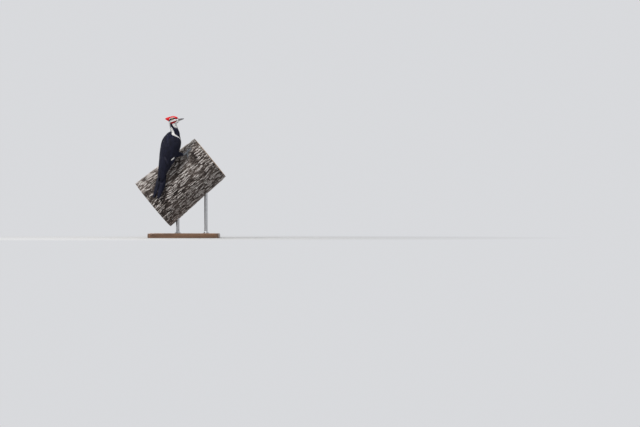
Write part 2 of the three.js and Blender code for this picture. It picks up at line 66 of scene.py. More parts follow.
# The body's form by place along the spine: half width, back, breast, shift towards the breast.
BODY = np.array([
    [-156, 14, 7, 4, -5],
    [-132, 19.5, 11.5, 9, -6],
    [-108, 24, 18, 15.5, -6],
    [-75, 30.5, 28, 27, -4],
    [-40, 38.5, 37, 37, -1],
    [0, 45, 43, 44.5, 0],
    [30, 47.5, 43, 46, 0],
    [52, 43, 39, 43, 0],
    [72, 33, 31, 35, -1],
    [90, 24, 23, 26, -4],
])
TRUNK_END, TRUNK_TOP = -134.0, 90.0
# The neck's mid-line and its radius: place, rightwards, towards the breast, radius.
NECK = np.array([
    [60, 4, 2, 30],
    [78, 6, 1, 24.5],
    [95, 3, -4, 21.8],
    [111, -5.2, -13, 20.8],
    [127, -10, -19, 19.6],
    [141, -9, -21, 16.5],
])
NECK_LOW, NECK_HIGH = 60, 141
# The head's and crest's form by place along the bill's line: top, underside, half width.
HEAD = np.array([
    [-31, 2, -14, 8.5],
    [-24, 10.5, -19, 14.5],
    [-10, 16, -20, 17],
    [3, 16.3, -20, 17.2],
    [14, 13, -19.4, 14.3],
    [22, 8, -17, 10.6],
    [28, 3.6, -13.4, 7.8],
])
CREST = np.array([
    [-56, 17.8, 13.8, 1.2],
    [-44, 19.8, 6, 4.4],
    [-30, 20.5, -2, 8],
    [-14, 20.6, -1, 12.5],
    [2, 19.2, 3, 13],
    [15, 14.6, 2, 10],
    [25, 8, 1.5, 5.6],
])
# How square each one's section is: 2 is an ellipse.
HEAD_BOX, CREST_BOX = 2.15, 2.0
EYE = np.array([11.6, 4.0, 4.4])
EYE_RADIUS = 5.9
# The bill's halves: which way they bulge, where they end, their outer edge at the root and, over the gape,
# at the tip, their half width at the root and the bow of their outer edge.
BILL_ROOT, BILL_BASE, GAPE, GAPE_GAP, BILL_TIP_HALF = 20, 23, -4.7, 0.15, 1.1
UPPER_BILL = {"sign": 1, "tip": 67, "edge": 2.6, "tip_edge": 1.4, "half": 6.9, "bow": 0.9}
LOWER_BILL = {"sign": -1, "tip": 65.8, "edge": -11.2, "tip_edge": -1.15, "half": 6.1, "bow": -0.45}
LEGS = {"right": ((25, 22, -14), (51, 47, -6)), "left": ((-26, 24, -32), (-46, 60, -50))}
THIGH_HIP, THIGH_HEEL = 16.0, 6.2

# How deep the skin lies under the feathers' outer form, and how finely it is made.
COAT_BODY, COAT_NECK, COAT_HEAD, COAT_CREST, COAT_THIGH = 2.4, 2.0, 1.3, 3.0, 1.8
SKIN_VOXEL, FOOT_VOXEL = 0.9, 0.42

# ------------------------------------------------------------------ frames


def turn(x, y, z, order):
    return np.array(Euler((x, y, z), order).to_matrix())


BIRD = turn(0, BODY_LEAN, -BODY_TURN, "ZXY")
HEAD_TO_BIRD = BIRD.T @ turn(HEAD_PITCH, 0, -HEAD_TURN, "XYZ")
LIMB_AXIS = np.array([math.cos(LIMB_SLOPE), 0, math.sin(LIMB_SLOPE)])
LIMB_UP = np.array([-math.sin(LIMB_SLOPE), 0, math.cos(LIMB_SLOPE)])
VIEWER = np.array([0, -1.0, 0])


def bird_to_world(points):
    """From millimetres in the bird's frame to metres in the world."""
    return (np.asarray(points) @ BIRD.T + BODY_CENTRE) * MM


def world_to_bird(points):
    return (np.asarray(points) / MM - BODY_CENTRE) @ BIRD


def head_to_bird(points):
    return np.asarray(points) @ HEAD_TO_BIRD.T + HEAD_AT


def bird_to_head(points):
    return (np.asarray(points) - HEAD_AT) @ HEAD_TO_BIRD


def on_limb(along, angle, radius):
    """World millimetres: place along the limb, angle round it from the viewer's side, and radius."""
    out = np.cos(angle)[..., None] * VIEWER + np.sin(angle)[..., None] * LIMB_UP
    return LIMB_CENTRE + np.asarray(along)[..., None] * LIMB_AXIS + np.asarray(radius)[..., None] * out


# ------------------------------------------------------------------ curves


def lerp(a, b, t):
    return a + (b - a) * t


def smooth(t):
    t = np.clip(t, 0, 1)
    return t * t * (3 - 2 * t)


def fade(value, start, end):
    """0 before start, 1 after end, smooth between."""
    return smooth((value - start) / (end - start))


def unit(v):
    return v / np.maximum(np.linalg.norm(v, axis=-1, keepdims=True), 1e-12)


def xyz(x, y, z):
    """Points from their three parts, each spread to the others' shape."""
    return np.stack(np.broadcast_arrays(x, y, z), -1)


def turns(count):
    """Angles once round a ring."""
    return np.linspace(0, TAU, count, endpoint=False)


def through(stations, places):
    """The stations' other columns at the places asked, on smooth curves through the stations."""
    s = stations[np.argsort(stations[:, 0])]
    x, v = s[:, 0], s[:, 1:]
    slope = np.empty_like(v)
    slope[1:-1] = (v[2:] - v[:-2]) / (x[2:] - x[:-2])[:, None]
    slope[0], slope[-1] = (v[1] - v[0]) / (x[1] - x[0]), (v[-1] - v[-2]) / (x[-1] - x[-2])
    places = np.asarray(places, float)
    i = np.clip(np.searchsorted(x, places) - 1, 0, len(x) - 2)
    span = (x[i + 1] - x[i])[..., None]
    k = np.clip((places[..., None] - x[i][..., None]) / span, 0, 1)
    rest = 1 - k
    value = (
        v[i] * (1 + 2 * k) * rest**2
        + v[i + 1] * (1 + 2 * rest) * k**2
        + slope[i] * span * k * rest**2
        - slope[i + 1] * span * rest * k**2
    )
    return np.moveaxis(value, -1, 0)


def rounding(t, start, end):
    """1 along a body, and a quarter ellipse down to 0 over a share of its length at each end."""
    near = np.minimum(np.minimum(t / start, (1 - t) / end), 1)
    return np.sqrt(np.clip(1 - (1 - near) ** 2, 0, 1))


# ------------------------------------------------------------------ the body's form


def on_body(place, degrees, share=1.0, lift=0.0):
    """The body's outer form: place along the spine, degrees from mid-back towards its right side."""
    angle = np.radians(-90 + np.asarray(degrees, float))
    wide, back, breast, shift = through(BODY, place)
    depth = np.where(np.sin(angle) > 0, breast, back)
    return xyz((wide * share + lift) * np.cos(angle), shift + (depth * share + lift) * np.sin(angle), place)


def neck_at(place):
    """The neck's mid-line and radius at a place along the spine."""
    x, y, radius = through(NECK, place)
    return np.stack([x, y], -1), radius


def on_neck(place, angle, radius):
    middle, _ = neck_at(place)
    return xyz(middle[..., 0] + radius * np.cos(angle), middle[..., 1] + radius * np.sin(angle), place)


def on_skull(stations, place, angle, share, lift, box):
    """A point on the head or crest, in the head's frame, at a place along the bill's line and an angle."""
    top, chin, wide = through(stations, place)
    power = 2 / box
    across = np.sign(np.cos(angle)) * np.abs(np.cos(angle)) ** power
    up = np.sign(np.sin(angle)) * np.abs(np.sin(angle)) ** power
    x = across * np.maximum(wide + lift, 0.2) * share
    z = (top + chin) / 2 + up * np.maximum((top - chin) / 2 + lift, 0.2) * share
    return xyz(x, place, z)


# ------------------------------------------------------------------ mesh tools


def read(items, what, width, kind=np.float32):
    """One property of every item of a mesh, as rows of this width."""
    values = np.empty(len(items) * width, kind)
    items.foreach_get(what, values)
    return values.reshape(-1, width)


def linked(name, data):
    thing = bpy.data.objects.new(name, data)
    bpy.context.scene.collection.objects.link(thing)
    return thing


def add_mesh(name, points, faces, material, slot):
    """A piece from world points in metres and a list of face arrays, with all its faces smooth."""
    mesh = bpy.data.meshes.new(name)
    mesh.vertices.add(len(points))
    mesh.vertices.foreach_set("co", np.asarray(points, np.float32).ravel())
    corners = np.concatenate([g.ravel() for g in faces]).astype(np.int32)
    counts = np.concatenate([np.full(len(g), g.shape[1]) for g in faces])
    mesh.loops.add(len(corners))
    mesh.loops.foreach_set("vertex_index", corners)
    mesh.polygons.add(len(counts))
    mesh.polygons.foreach_set("loop_start", np.concatenate([[0], np.cumsum(counts)[:-1]]).astype(np.int32))
    mesh.polygons.foreach_set("use_smooth", np.ones(len(counts), bool))
    mesh.update(calc_edges=True)
    mesh.validate()
    mesh.materials.append(material)
    piece = linked(name, mesh)
    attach(piece, "root")
    return piece


def set_attribute(mesh, name, values):
    """A value per vertex for the material: one number, or two or three as a colour."""
    values = np.asarray(values, np.float32)
    if values.ndim == 1:
        mesh.attributes.new(name, "FLOAT", "POINT").data.foreach_set("value", values)
        return
    colour = np.ones((len(values), 4), np.float32)
    colour[:, : values.shape[1]] = values
    mesh.attributes.new(name, "FLOAT_COLOR", "POINT").data.foreach_set("color", colour.ravel())


def set_marks(mesh, marks):
    """The markings for the material: white, scarlet and crimson as one colour, and slate."""
    set_attribute(mesh, "mark", marks[:, :3])
    set_attribute(mesh, "slate", marks[:, 3])


def set_bake_map(mesh, uv):
    """The bake's map, from a place on it for each vertex."""
    corner = read(mesh.loops, "vertex_index", 1, np.int32).ravel()
    mesh.uv_layers.new(name="OFBake").uv.foreach_set("vector", np.asarray(uv, np.float32)[corner].ravel())


def mesh_arrays(mesh):
    mesh.calc_loop_triangles()
    points = read(mesh.vertices, "co", 3).astype(float)
    return points, read(mesh.loop_triangles, "vertices", 3, np.int32)


def turn_out(mesh):
    """All faces of a closed body face out."""
    points, triangles = mesh_arrays(mesh)
    a, b, c = (points[triangles[:, k]] - points.mean(0) for k in range(3))
    if np.einsum("ij,ij->", a, np.cross(b, c)) < 0:
        mesh.flip_normals()


def sharpen(mesh, degrees=35):
    """Edges steeper than this stay crisp."""
    mesh.set_sharp_from_angle(angle=math.radians(degrees))


def halves(quads):
    """Two triangles for each face of four."""
    return np.concatenate([quads[:, [0, 1, 2]], quads[:, [0, 2, 3]]])


def tube_faces(rows, around):
    """Quads of a grid of rings, closed round each ring, with the rows' ends left open."""
    i, j = np.meshgrid(np.arange(rows - 1), np.arange(around), indexing="ij")
    a = i * around + j
    b = i * around + (j + 1) % around
    return np.stack([a, b, b + around, a + around], -1).reshape(-1, 4)


def end_fans(rows, around):
    """Triangles from the two points that follow the rings to the first ring and the last."""
    ring, last = np.arange(around), (rows - 1) * around + np.arange(around)
    start = np.stack([np.full(around, rows * around), np.roll(ring, -1), ring], -1)
    end = np.stack([np.full(around, rows * around + 1), last, np.roll(last, -1)], -1)
    return np.concatenate([start, end])


def closed_loft(rings):
    """A closed body from rings (rows, around, 3), its ends brought to the last rings' middles."""
    rows, around = rings.shape[:2]
    points = np.concatenate([rings.reshape(-1, 3), rings[[0, -1]].mean(1)])
    return points, [tube_faces(rows, around), end_fans(rows, around)]


def joined(bodies):
    """Several bodies, each as points and a list of face arrays, as one."""
    bases = np.cumsum([0] + [len(points) for points, _ in bodies])
    kinds = zip(*(faces for _, faces in bodies))
    faces = [np.concatenate([f + base for f, base in zip(kind, bases)]) for kind in kinds]
    return np.concatenate([points for points, _ in bodies]), faces


def modified(mesh, *modifiers):
    """World points and faces of four of a mesh after modifiers, each a kind and its settings."""
    body = linked("rough", mesh)
    for kind, settings in modifiers:
        modifier = body.modifiers.new(kind, kind)
        for key, value in settings.items():
            setattr(modifier, key, value)
    made = bpy.data.meshes.new_from_object(body.evaluated_get(bpy.context.evaluated_depsgraph_get()))
    bpy.data.objects.remove(body)
    points = read(made.vertices, "co", 3).astype(float)
    quads = read(made.loops, "vertex_index", 1, np.int32).reshape(-1, 4)
    bpy.data.meshes.remove(made)
    return points, quads


def remeshed(points, faces, voxel, rounds):
    """One closed even mesh round the given bodies, smoothed."""
    mesh = bpy.data.meshes.new("rough")
    mesh.from_pydata(points.tolist(), [], [tuple(f) for g in faces for f in g.tolist()])
    even = ("REMESH", {"mode": "VOXEL", "voxel_size": voxel * MM})
    return modified(mesh, even, ("SMOOTH", {"factor": 0.5, "iterations": rounds}))


def welded(mesh):
    """A copy of a CAD mesh with its corners joined."""
    copy = mesh.copy()
    body = bmesh.new()
    body.from_mesh(copy)
    bmesh.ops.remove_doubles(body, verts=body.verts, dist=0.01 * MM)
    bmesh.ops.recalc_face_normals(body, faces=body.faces)
    body.to_mesh(copy)
    body.free()
    return copy


def cad_points(name):
    return np.array([v.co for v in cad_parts[name].data.vertices])


def cad_names(*starts):
    return sorted(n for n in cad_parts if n.startswith(starts))


# ------------------------------------------------------------------ materials


class Nodes:
    """A material's nodes, made and joined in short calls."""

    def __init__(self, name):
        self.material = bpy.data.materials.new(name)
        self.material.use_nodes = True
        self.tree = self.material.node_tree
        self.shader = self.tree.nodes["Principled BSDF"]

    def set(self, **values):
        """Uniform values on the shader's own sockets, by the socket's name with _ for a space."""
        for key, value in values.items():
            socket = self.shader.inputs[key.replace("_", " ")]
            socket.default_value = (*value, 1) if isinstance(value, tuple) else value

    def node(self, kind, values=(), **settings):
        made = self.tree.nodes.new("ShaderNode" + kind)
        for key, value in settings.items():
            setattr(made, key, value)
        for key, value in dict(values).items():
            if isinstance(value, bpy.types.NodeSocket):
                self.tree.links.new(value, made.inputs[key])
            else:
                made.inputs[key].default_value = value
        return made

    def link(self, socket, key):
        self.tree.links.new(socket, self.shader.inputs[key])

    def value(self, name):
        """A number attribute of the mesh."""
        return self.node("Attribute", attribute_name=name).outputs["Fac"]

    def channels(self, name):
        """The three parts of a colour attribute of the mesh."""
        colour = self.node("Attribute", attribute_name=name).outputs["Color"]
        return list(self.node("SeparateColor", {"Color": colour}).outputs)

    def place(self, scale=(1, 1, 1), turned=(0, 0, 0)):
        """Object coordinates, scaled and turned."""
        coordinates = self.node("TexCoord").outputs["Object"]
        return self.node("Mapping", {"Vector": coordinates, "Rotation": turned, "Scale": scale}).outputs[0]

    def noise(self, scale, detail=4.0, roughness=0.55, vector=None, distortion=0.0):
        values = {"Scale": scale, "Detail": detail, "Roughness": roughness, "Distortion": distortion}
        values["Vector"] = vector or self.place()
        return self.node("TexNoise", values).outputs["Fac"]

    def math(self, operation, a, b=0.0, c=0.0, clamp=False):
        return self.node("Math", {0: a, 1: b, 2: c}, operation=operation, use_clamp=clamp).outputs[0]

    def times(self, a, b):
        return self.math("MULTIPLY", a, b)

    def times_plus(self, a, b, c, clamp=False):
        return self.math("MULTIPLY_ADD", a, b, c, clamp)

    def wave(self, phase):
        """0 to 1 and back for each turn of the phase."""
        return self.times_plus(self.math("SINE", self.times(phase, TAU)), 0.5, 0.5)

    def plane(self, x, y):
        """A place for a texture from two numbers."""
        return self.node("CombineXYZ", {"X": x, "Y": y}).outputs[0]

    def ramp(self, value, low, high, out_low=0.0, out_high=1.0):
        """value brought from low..high to out_low..out_high, clamped."""
        keys = ("Value", "From Min", "From Max", "To Min", "To Max")
        return self.node("MapRange", dict(zip(keys, (value, low, high, out_low, out_high)))).outputs[0]

    def mix(self, share, under, over):
        """One colour over another by a share, each a tuple or a socket."""
        under, over = ((*c, 1) if isinstance(c, tuple) else c for c in (under, over))
        return self.node("Mix", {0: share, 6: under, 7: over}, data_type="RGBA").outputs[2]

    def layers(self, colour, *layers):
        """Colours laid on in turn, each by its share."""
        for share, over in layers:
            colour = self.mix(share, colour, over)
        return colour

    def finish(self, colour, roughness, bump, **values):
        """The material. A bump is its height, strength and distance; values are uniform ones."""
        self.link(colour, "Base Color")
        if roughness:
            self.link(roughness, "Roughness")
        if bump:
            height = self.node("Bump", dict(zip(("Height", "Strength", "Distance"), bump)))
            self.link(height.outputs[0], "Normal")
        self.set(**values)
        return self.material


# Linear colours of the bird. On the feathers, the paler of each pair comes from each feather's own tone and
# from painted sheen.
JET, JET_PALE = (0.0025, 0.0028, 0.008), (0.021, 0.0232, 0.052)
SNOW_SHADE, SNOW = (0.7, 0.69, 0.67), (0.93, 0.925, 0.905)
SCARLET_DEEP, SCARLET = (0.46, 0.003, 0.006), (0.8, 0.009, 0.012)
CRIMSON = (0.27, 0.0035, 0.008)
SLATE = (0.017, 0.0205, 0.038)


def marked_colour(n, tone):
    """The bird's markings: black, and over it slate, white, scarlet and crimson by the mesh's attributes."""
    white, scarlet, crimson = n.channels("mark")
    return n.layers(
        n.mix(tone, JET, JET_PALE),
        (n.value("slate"), SLATE),
        (white, n.mix(tone, SNOW_SHADE, SNOW)),
        (scarlet, n.mix(tone, SCARLET_DEEP, SCARLET)),
        (crimson, CRIMSON),
    )


def feather_material(name, barbs, slant, bright=1.0, pale=1.0):
    """Vanes: barbs slant out from the shaft, tips are a little paler, each feather has its own tone, and
    broad patches of painted sheen lighten it.
    """
    n = Nodes(name)
    along, across, own = n.channels("vane")
    side = n.math("ABSOLUTE", n.times_plus(across, 2.0, -1.0))
    fray = n.noise(900.0, 2.0)
    phase = n.math("SUBTRACT", n.times(along, barbs), n.times(side, barbs * slant))
    barb = n.wave(n.times_plus(fray, 1.6, phase))
    shaft = n.ramp(side, 0.1, 0.02)
    # Painted sheen: broad lighter patches laid along the body stand in for the plumage's gloss.
    painted_sheen = n.noise(1.0, 4.0, 0.6, n.place((70, 70, 26), (0, -BODY_LEAN, 0)))
    tone = n.times_plus(barb, 0.16, n.times(own, 0.38))
    tone = n.times_plus(n.ramp(along, 0.5, 1.0), 0.24 * bright, tone)
    tone = n.times_plus(n.ramp(painted_sheen, 0.36, 0.64), 0.55, n.math("SUBTRACT", tone, 0.2))
    tone = n.times(n.times_plus(shaft, 0.2 * bright, tone, clamp=True), pale)
    relief = n.times_plus(shaft, 1.0, n.times_plus(fray, 1.2, barb))
    roughness = n.ramp(n.times_plus(own, 0.5, barb), 0.0, 1.5, 0.5, 0.7)
    return n.finish(marked_colour(n, tone), roughness, (relief, 0.7, 0.00016), Specular_IOR_Level=0.14,
                    Sheen_Weight=0.03, Sheen_Roughness=0.4, Sheen_Tint=(0.4, 0.48, 0.8))


def skin_material():
    """Skin under the feathers with the same markings, and the grey scaly legs and feet."""
    n = Nodes("skin")
    tone = n.noise(260.0, 4.0)
    fine = n.node("TexVoronoi", {"Vector": n.place(), "Scale": 1150.0}, feature="DISTANCE_TO_EDGE")
    scale_edge = n.ramp(fine.outputs["Distance"], 0.0, 0.09)
    grey = n.layers(
        n.mix(n.noise(420.0, 5.0), (0.09, 0.101, 0.116), (0.245, 0.262, 0.28)),
        (n.ramp(scale_edge, 0.0, 1.0, 0.45, 0.0), (0.03, 0.034, 0.04)),
        (n.ramp(n.value("scute"), 0.35, 0.0, 0.0, 0.75), (0.028, 0.03, 0.036)),
    )
    lid = (0.035, 0.037, 0.042)
    colour = n.layers(marked_colour(n, tone), (n.value("foot"), grey), (n.value("lid"), lid))
    relief = n.times_plus(scale_edge, 0.6, tone)
    return n.finish(colour, n.ramp(tone, 0.3, 0.7, 0.5, 0.72), (relief, 0.5, 0.00018), Specular_IOR_Level=0.4)


def bill_material():
    """Slate horn, darker along the ridge and tip and paler under, with fine lengthwise growth lines."""
    n = Nodes("bill_horn")
    along, high, _ = n.channels("horn")
    grain = n.noise(1.0, 5.0, 0.6, n.plane(n.times(along, 9.0), n.times(high, 60.0)))
    stain = n.noise(140.0, 4.0)
    colour = n.layers(
        n.mix(n.ramp(high, 0.15, 0.8), (0.33, 0.315, 0.295), (0.085, 0.085, 0.098)),
        (n.ramp(grain, 0.38, 0.7, 0.0, 0.5), (0.055, 0.053, 0.062)),
        (n.ramp(stain, 0.45, 0.75, 0.0, 0.35), (0.28, 0.26, 0.24)),
        (n.ramp(along, 0.3, 0.85, 0.0, 0.9), (0.03, 0.028, 0.037)),
    )
    roughness = n.ramp(grain, 0.3, 0.7, 0.4, 0.6)
    return n.finish(colour, roughness, (grain, 0.45, 0.00025), Specular_IOR_Level=0.42)


def claw_material():
    """Dark horn, paler at the root, with lengthwise wear."""
    n = Nodes("claw_horn")
    grain = n.noise(600.0, 4.0)
    colour = n.layers(
        n.mix(n.ramp(grain, 0.35, 0.7), (0.028, 0.027, 0.03), (0.085, 0.08, 0.08)),
        (n.ramp(n.value("root"), 0.35, 1.0, 0.0, 0.7), (0.16, 0.155, 0.15)),
    )
    roughness = n.ramp(grain, 0.3, 0.7, 0.24, 0.42)
    return n.finish(colour, roughness, (grain, 0.3, 0.00012), Specular_IOR_Level=0.55)


def eye_material():
    """Black pupil, pale yellow iris with fine rays and a dark rim, under a wet gloss."""
    n = Nodes("eye")
    gaze, round_it, _ = n.channels("gaze")
    from_front = n.math("ABSOLUTE", n.math("SUBTRACT", round_it, 0.5))
    rays = n.noise(1.0, 4.0, 0.6, n.plane(n.times(from_front, 90.0), n.times(gaze, 3.0)))
    iris = n.layers(
        n.mix(n.ramp(rays, 0.35, 0.65), (0.5, 0.27, 0.03), (0.86, 0.62, 0.16)),
        (n.ramp(gaze, 0.55, 0.66, 0.0, 0.85), (0.16, 0.06, 0.01)),
        (n.ramp(gaze, 0.43, 0.49, 0.5, 0.0), (0.25, 0.1, 0.02)),
    )
    pupil, rim = (0.004, 0.004, 0.005), (0.012, 0.011, 0.012)
    colour = n.layers(pupil, (n.ramp(gaze, 0.4, 0.43), iris), (n.ramp(gaze, 0.66, 0.7), rim))
    return n.finish(colour, None, None, Roughness=0.08, Specular_IOR_Level=0.6, Coat_Weight=1.0,
                    Coat_Roughness=0.02)


def bark_material():
    """Weathered oak bark: furrows painted near-black as shade, brown-grey sides darkened partly by painted
    shade, pale fibrous plates with painted highlights on their highest ridges, specks of lichen.
    """
    n = Nodes("bark")
    high, own, _ = n.channels("bark")
    coarse = n.noise(30.0, 6.0, 0.62)
    fine = n.noise(300.0, 7.0, 0.7)
    lined = n.place(turned=(0, LIMB_SLOPE, 0))
    stretched = n.node("Mapping", {"Vector": lined, "Scale": (90, 520, 520)}).outputs[0]
    fibre = n.noise(1.0, 7.0, 0.68, stretched, 0.6)
    level = n.times_plus(n.math("SUBTRACT", fibre, 0.5), 1.25, high)
    level = n.times_plus(n.math("SUBTRACT", fine, 0.5), 0.6, level)
    side = n.mix(coarse, (0.052, 0.039, 0.033), (0.14, 0.114, 0.099))
    top = n.mix(own, (0.2, 0.17, 0.155), (0.42, 0.385, 0.365))
    top = n.mix(n.ramp(coarse, 0.42, 0.66, 0.0, 0.45), top, (0.31, 0.275, 0.256))
    speck = n.noise(75.0, 4.0, 0.6, n.place(turned=(0.4, 0.2, 1.1)))
    crust = n.times(n.ramp(speck, 0.6, 0.64), n.ramp(level, 0.55, 0.8))
    moss_place = n.noise(13.0, 6.0, 0.65, n.place(turned=(1.3, 0.7, 0.2)))
    moss = n.times(n.ramp(moss_place, 0.56, 0.66), n.ramp(fine, 0.45, 0.6))
    colour = n.layers(
        # Plate sides darken from the pale tops towards the furrows. This is partly the bark's own colour and
        # partly painted shade.
        n.mix(n.ramp(level, 0.5, 0.76), side, top),
        # Painted highlight: the highest ridges are lightened to pale grey.
        (n.ramp(level, 0.76, 1.0, 0.0, 0.75), (0.78, 0.745, 0.72)),
        # Painted shade: the deepest furrows are darkened to near-black.
        (n.ramp(level, 0.22, 0.5, 1.0, 0.0), (0.012, 0.009, 0.008)),
        (n.times(crust, 0.7), n.mix(own, (0.62, 0.63, 0.59), (0.43, 0.46, 0.39))),
        (n.times(moss, 0.25), (0.085, 0.1, 0.05)),
    )
    relief = n.times_plus(fibre, 1.6, n.times_plus(crust, 0.3, fine))
    roughness = n.ramp(crust, 0.0, 1.0, 0.82, 0.95)
    return n.finish(colour, roughness, (relief, 1.0, 0.0024), Specular_IOR_Level=0.22)


def cut_wood_material():
    """The limb's sawn ends: growth rings, darker heart, radial checks painted near-black as shade, and a rim
    of bark.
    """
    n = Nodes("cut_wood")
    ring, rind, check = n.channels("cut")
    grain = n.noise(180.0, 6.0, 0.6)
    wobble = n.times_plus(n.noise(14.0, 4.0), 0.05, ring)
    year = n.wave(n.times(wobble, 38.0))
    colour = n.layers(
        n.mix(year, (0.34, 0.225, 0.135), (0.5, 0.36, 0.235)),
        (n.ramp(wobble, 0.42, 0.6, 0.75, 0.0), (0.24, 0.145, 0.082)),
        (n.ramp(grain, 0.45, 0.75, 0.0, 0.4), (0.2, 0.13, 0.085)),
        (rind, n.mix(grain, (0.05, 0.034, 0.025), (0.15, 0.105, 0.078))),
        # Painted shade: the open checks are darkened to near-black.
        (n.ramp(check, 0.2, 0.85), (0.03, 0.02, 0.014)),
    )
    relief = n.times_plus(year, 0.5, grain)
    return n.finish(colour, n.ramp(year, 0.0, 1.0, 0.7, 0.85), (relief, 0.5, 0.0004), Specular_IOR_Level=0.3)


def walnut_material():
    """Oiled walnut with long grain, pores and a soft satin finish."""
    n = Nodes("walnut")
    wide = n.noise(1.0, 5.0, 0.55, n.place((2.2, 16, 16)), 0.6)
    grain = n.node("TexWave", {
        "Vector": n.place((1.1, 9, 9)), "Scale": 3.2, "Distortion": 7.0, "Detail": 4.0, "Detail Scale": 1.3,
    }, bands_direction="Y").outputs["Fac"]
    pores = n.noise(1.0, 4.0, 0.7, n.place((55, 1100, 1100)))
    colour = n.layers(
        n.mix(grain, (0.062, 0.028, 0.014), (0.165, 0.083, 0.042)),
        (n.ramp(wide, 0.35, 0.68, 0.0, 0.6), (0.235, 0.13, 0.07)),
        (n.ramp(pores, 0.58, 0.72, 0.0, 0.7), (0.022, 0.01, 0.006)),
    )
    return n.finish(colour, n.ramp(pores, 0.4, 0.75, 0.34, 0.52), (pores, 0.25, 0.00025),
                    Specular_IOR_Level=0.5, Coat_Weight=0.15, Coat_Roughness=0.3)


def steel_material():
    """Brushed steel: fine rings round the rod, a few smudges."""
    n = Nodes("brushed_steel")
    brush = n.noise(1.0, 3.0, 0.6, n.place((90, 90, 5200)))
    smudge = n.noise(38.0, 4.0)
    colour = n.layers(
        n.mix(n.ramp(brush, 0.35, 0.7), (0.36, 0.365, 0.375), (0.58, 0.585, 0.595)),
        (n.ramp(smudge, 0.5, 0.8, 0.0, 0.25), (0.3, 0.3, 0.3)),
    )
    roughness = n.ramp(n.math("ADD", brush, smudge), 0.6, 1.4, 0.2, 0.42)
    return n.finish(colour, roughness, (brush, 0.25, 0.00006), Metallic=1.0)


# ------------------------------------------------------------------ markings

# Stripes on the side of the head: along the bill, towards the crown, half width.
CHEEK_STRIPE = np.array([
    [27, -2.4, 2.0], [20, -2.9, 3.4], [12, -3.8, 3.4], [2, -5.6, 3.5],
    [-9, -7.6, 3.9], [-17, -11.5, 4.8], [-22, -18, 5.6],
])
EYE_STRIPE = np.array([
    [18, 3.6, 0.6], [12, 4.4, 1.9], [5, 4.4, 4.7], [-6, 3.4, 4.2], [-16, 0.6, 4.0], [-25, -4, 3.6],
])
BROW_LINE = np.array([[14, 8.4, 0.6], [4, 11.4, 1.3], [-7, 10.6, 1.7], [-17, 7.4, 1.8], [-27, 2.2, 1.8]])
MALAR_STRIPE = np.array([
    [26, -7.6, 1.2], [19, -9.4, 2.6], [12, -11.6, 3.8], [4, -13.8, 4.1], [-4, -16.0, 3.3],
])
MALAR_SHADOW = np.array([[-6, -18, 2.2], [-8, -21.5, 2.8], [-8.5, -27, 3.4]])
CHIN_STRIPE = np.array([[30, -12, 3.4], [20, -14.4, 3.2], [12, -17.6, 3.0], [5, -20, 2.8]])
# The lower edge of the red crown: along the bill, towards the crown.
CROWN_EDGE = np.array([
    [-60, 1], [-34, 2], [-26, 5.8], [-17, 9.3], [-7, 12.3], [4, 13.1], [12, 10.2], [20, 5.0], [30, 1.4],
])
THROAT_AT, THROAT_REACH = np.array([0, 14, -19.0]), 19.5
# The head's share of the bird: a rounded block in the head's frame.
HEAD_MIDDLE, HEAD_REACH = np.array([0, -2, -1]), np.array([21, 36, 23])

# The white line down each side of the neck. It starts behind the cheek, as points in the head's frame and
# half widths; then come its places along the spine, degrees from mid-back and half widths.
NECK_STRIPE_START = np.array([[13.5, -17, -11.5, 5.4], [13.5, -21, -17, 6.2]])
NECK_STRIPE = {
    1: np.array([
        [119, -34, 6.8], [111, -29, 7.4], [101, -22, 7.8], [90, 6, 7.6], [81, 25, 6.8],
        [77, 42, 5.2], [74.5, 58, 4.2], [71.5, 82, 3.0], [67, 104, 2.4], [58, 118, 2.0],
    ]),
    -1: np.array([
        [124, 166, 6.6], [110, 184, 6.6], [97, 206, 6.4], [86, 227, 5.8],
        [77, 240, 4.8], [69, 248, 3.4], [58, 246, 2.2],
    ]),
}
# The white at the primaries' bases: a short slanting bar, its ends as place and degrees.
WING_PATCH_ENDS, WING_PATCH_HALF = ((-43, 70), (-31, 83.5)), 3.1


def stripe(points, path, soft=0.9):
    """1 on a stripe along a path whose last column is its half width, 0 off it."""
    best = np.full(len(points), -1e9)
    for start, end in zip(path[:-1], path[1:]):
        step = end[:-1] - start[:-1]
        t = np.clip(((points - start[:-1]) @ step) / (step @ step), 0, 1)
        off = np.linalg.norm(points - start[:-1] - t[:, None] * step, axis=1)
        best = np.maximum(best, lerp(start[-1], end[-1], t) - off)
    return smooth(best / soft + 0.5)


def outer_form(place, degrees):
    """The outermost of body and neck at a place and an angle from mid-back."""
    body = on_body(place, degrees)
    neck = on_neck(place, np.radians(-90 + degrees), neck_at(place)[1])
    farther = np.linalg.norm(neck[..., :2], axis=-1) > np.linalg.norm(body[..., :2], axis=-1)
    return np.where((farther | (place > TRUNK_TOP))[..., None], neck, body)


def neck_stripes(points):
    shown = np.zeros(len(points))
    for side, path in NECK_STRIPE.items():
        behind_cheek = head_to_bird(NECK_STRIPE_START[:, :3] * [side, 1, 1])
        start = np.column_stack([behind_cheek, NECK_STRIPE_START[:, 3]])
        line = np.column_stack([outer_form(path[:, 0], path[:, 1]), path[:, 2]])
        shown = np.maximum(shown, stripe(points, np.concatenate([start, line]), 1.4))
    return shown


def head_share(points):
    """1 on the head, 0 on the neck and body."""
    q = (bird_to_head(points) - HEAD_MIDDLE) / HEAD_REACH
    return 1 - fade(np.linalg.norm(q, axis=1), 1.02, 1.22)


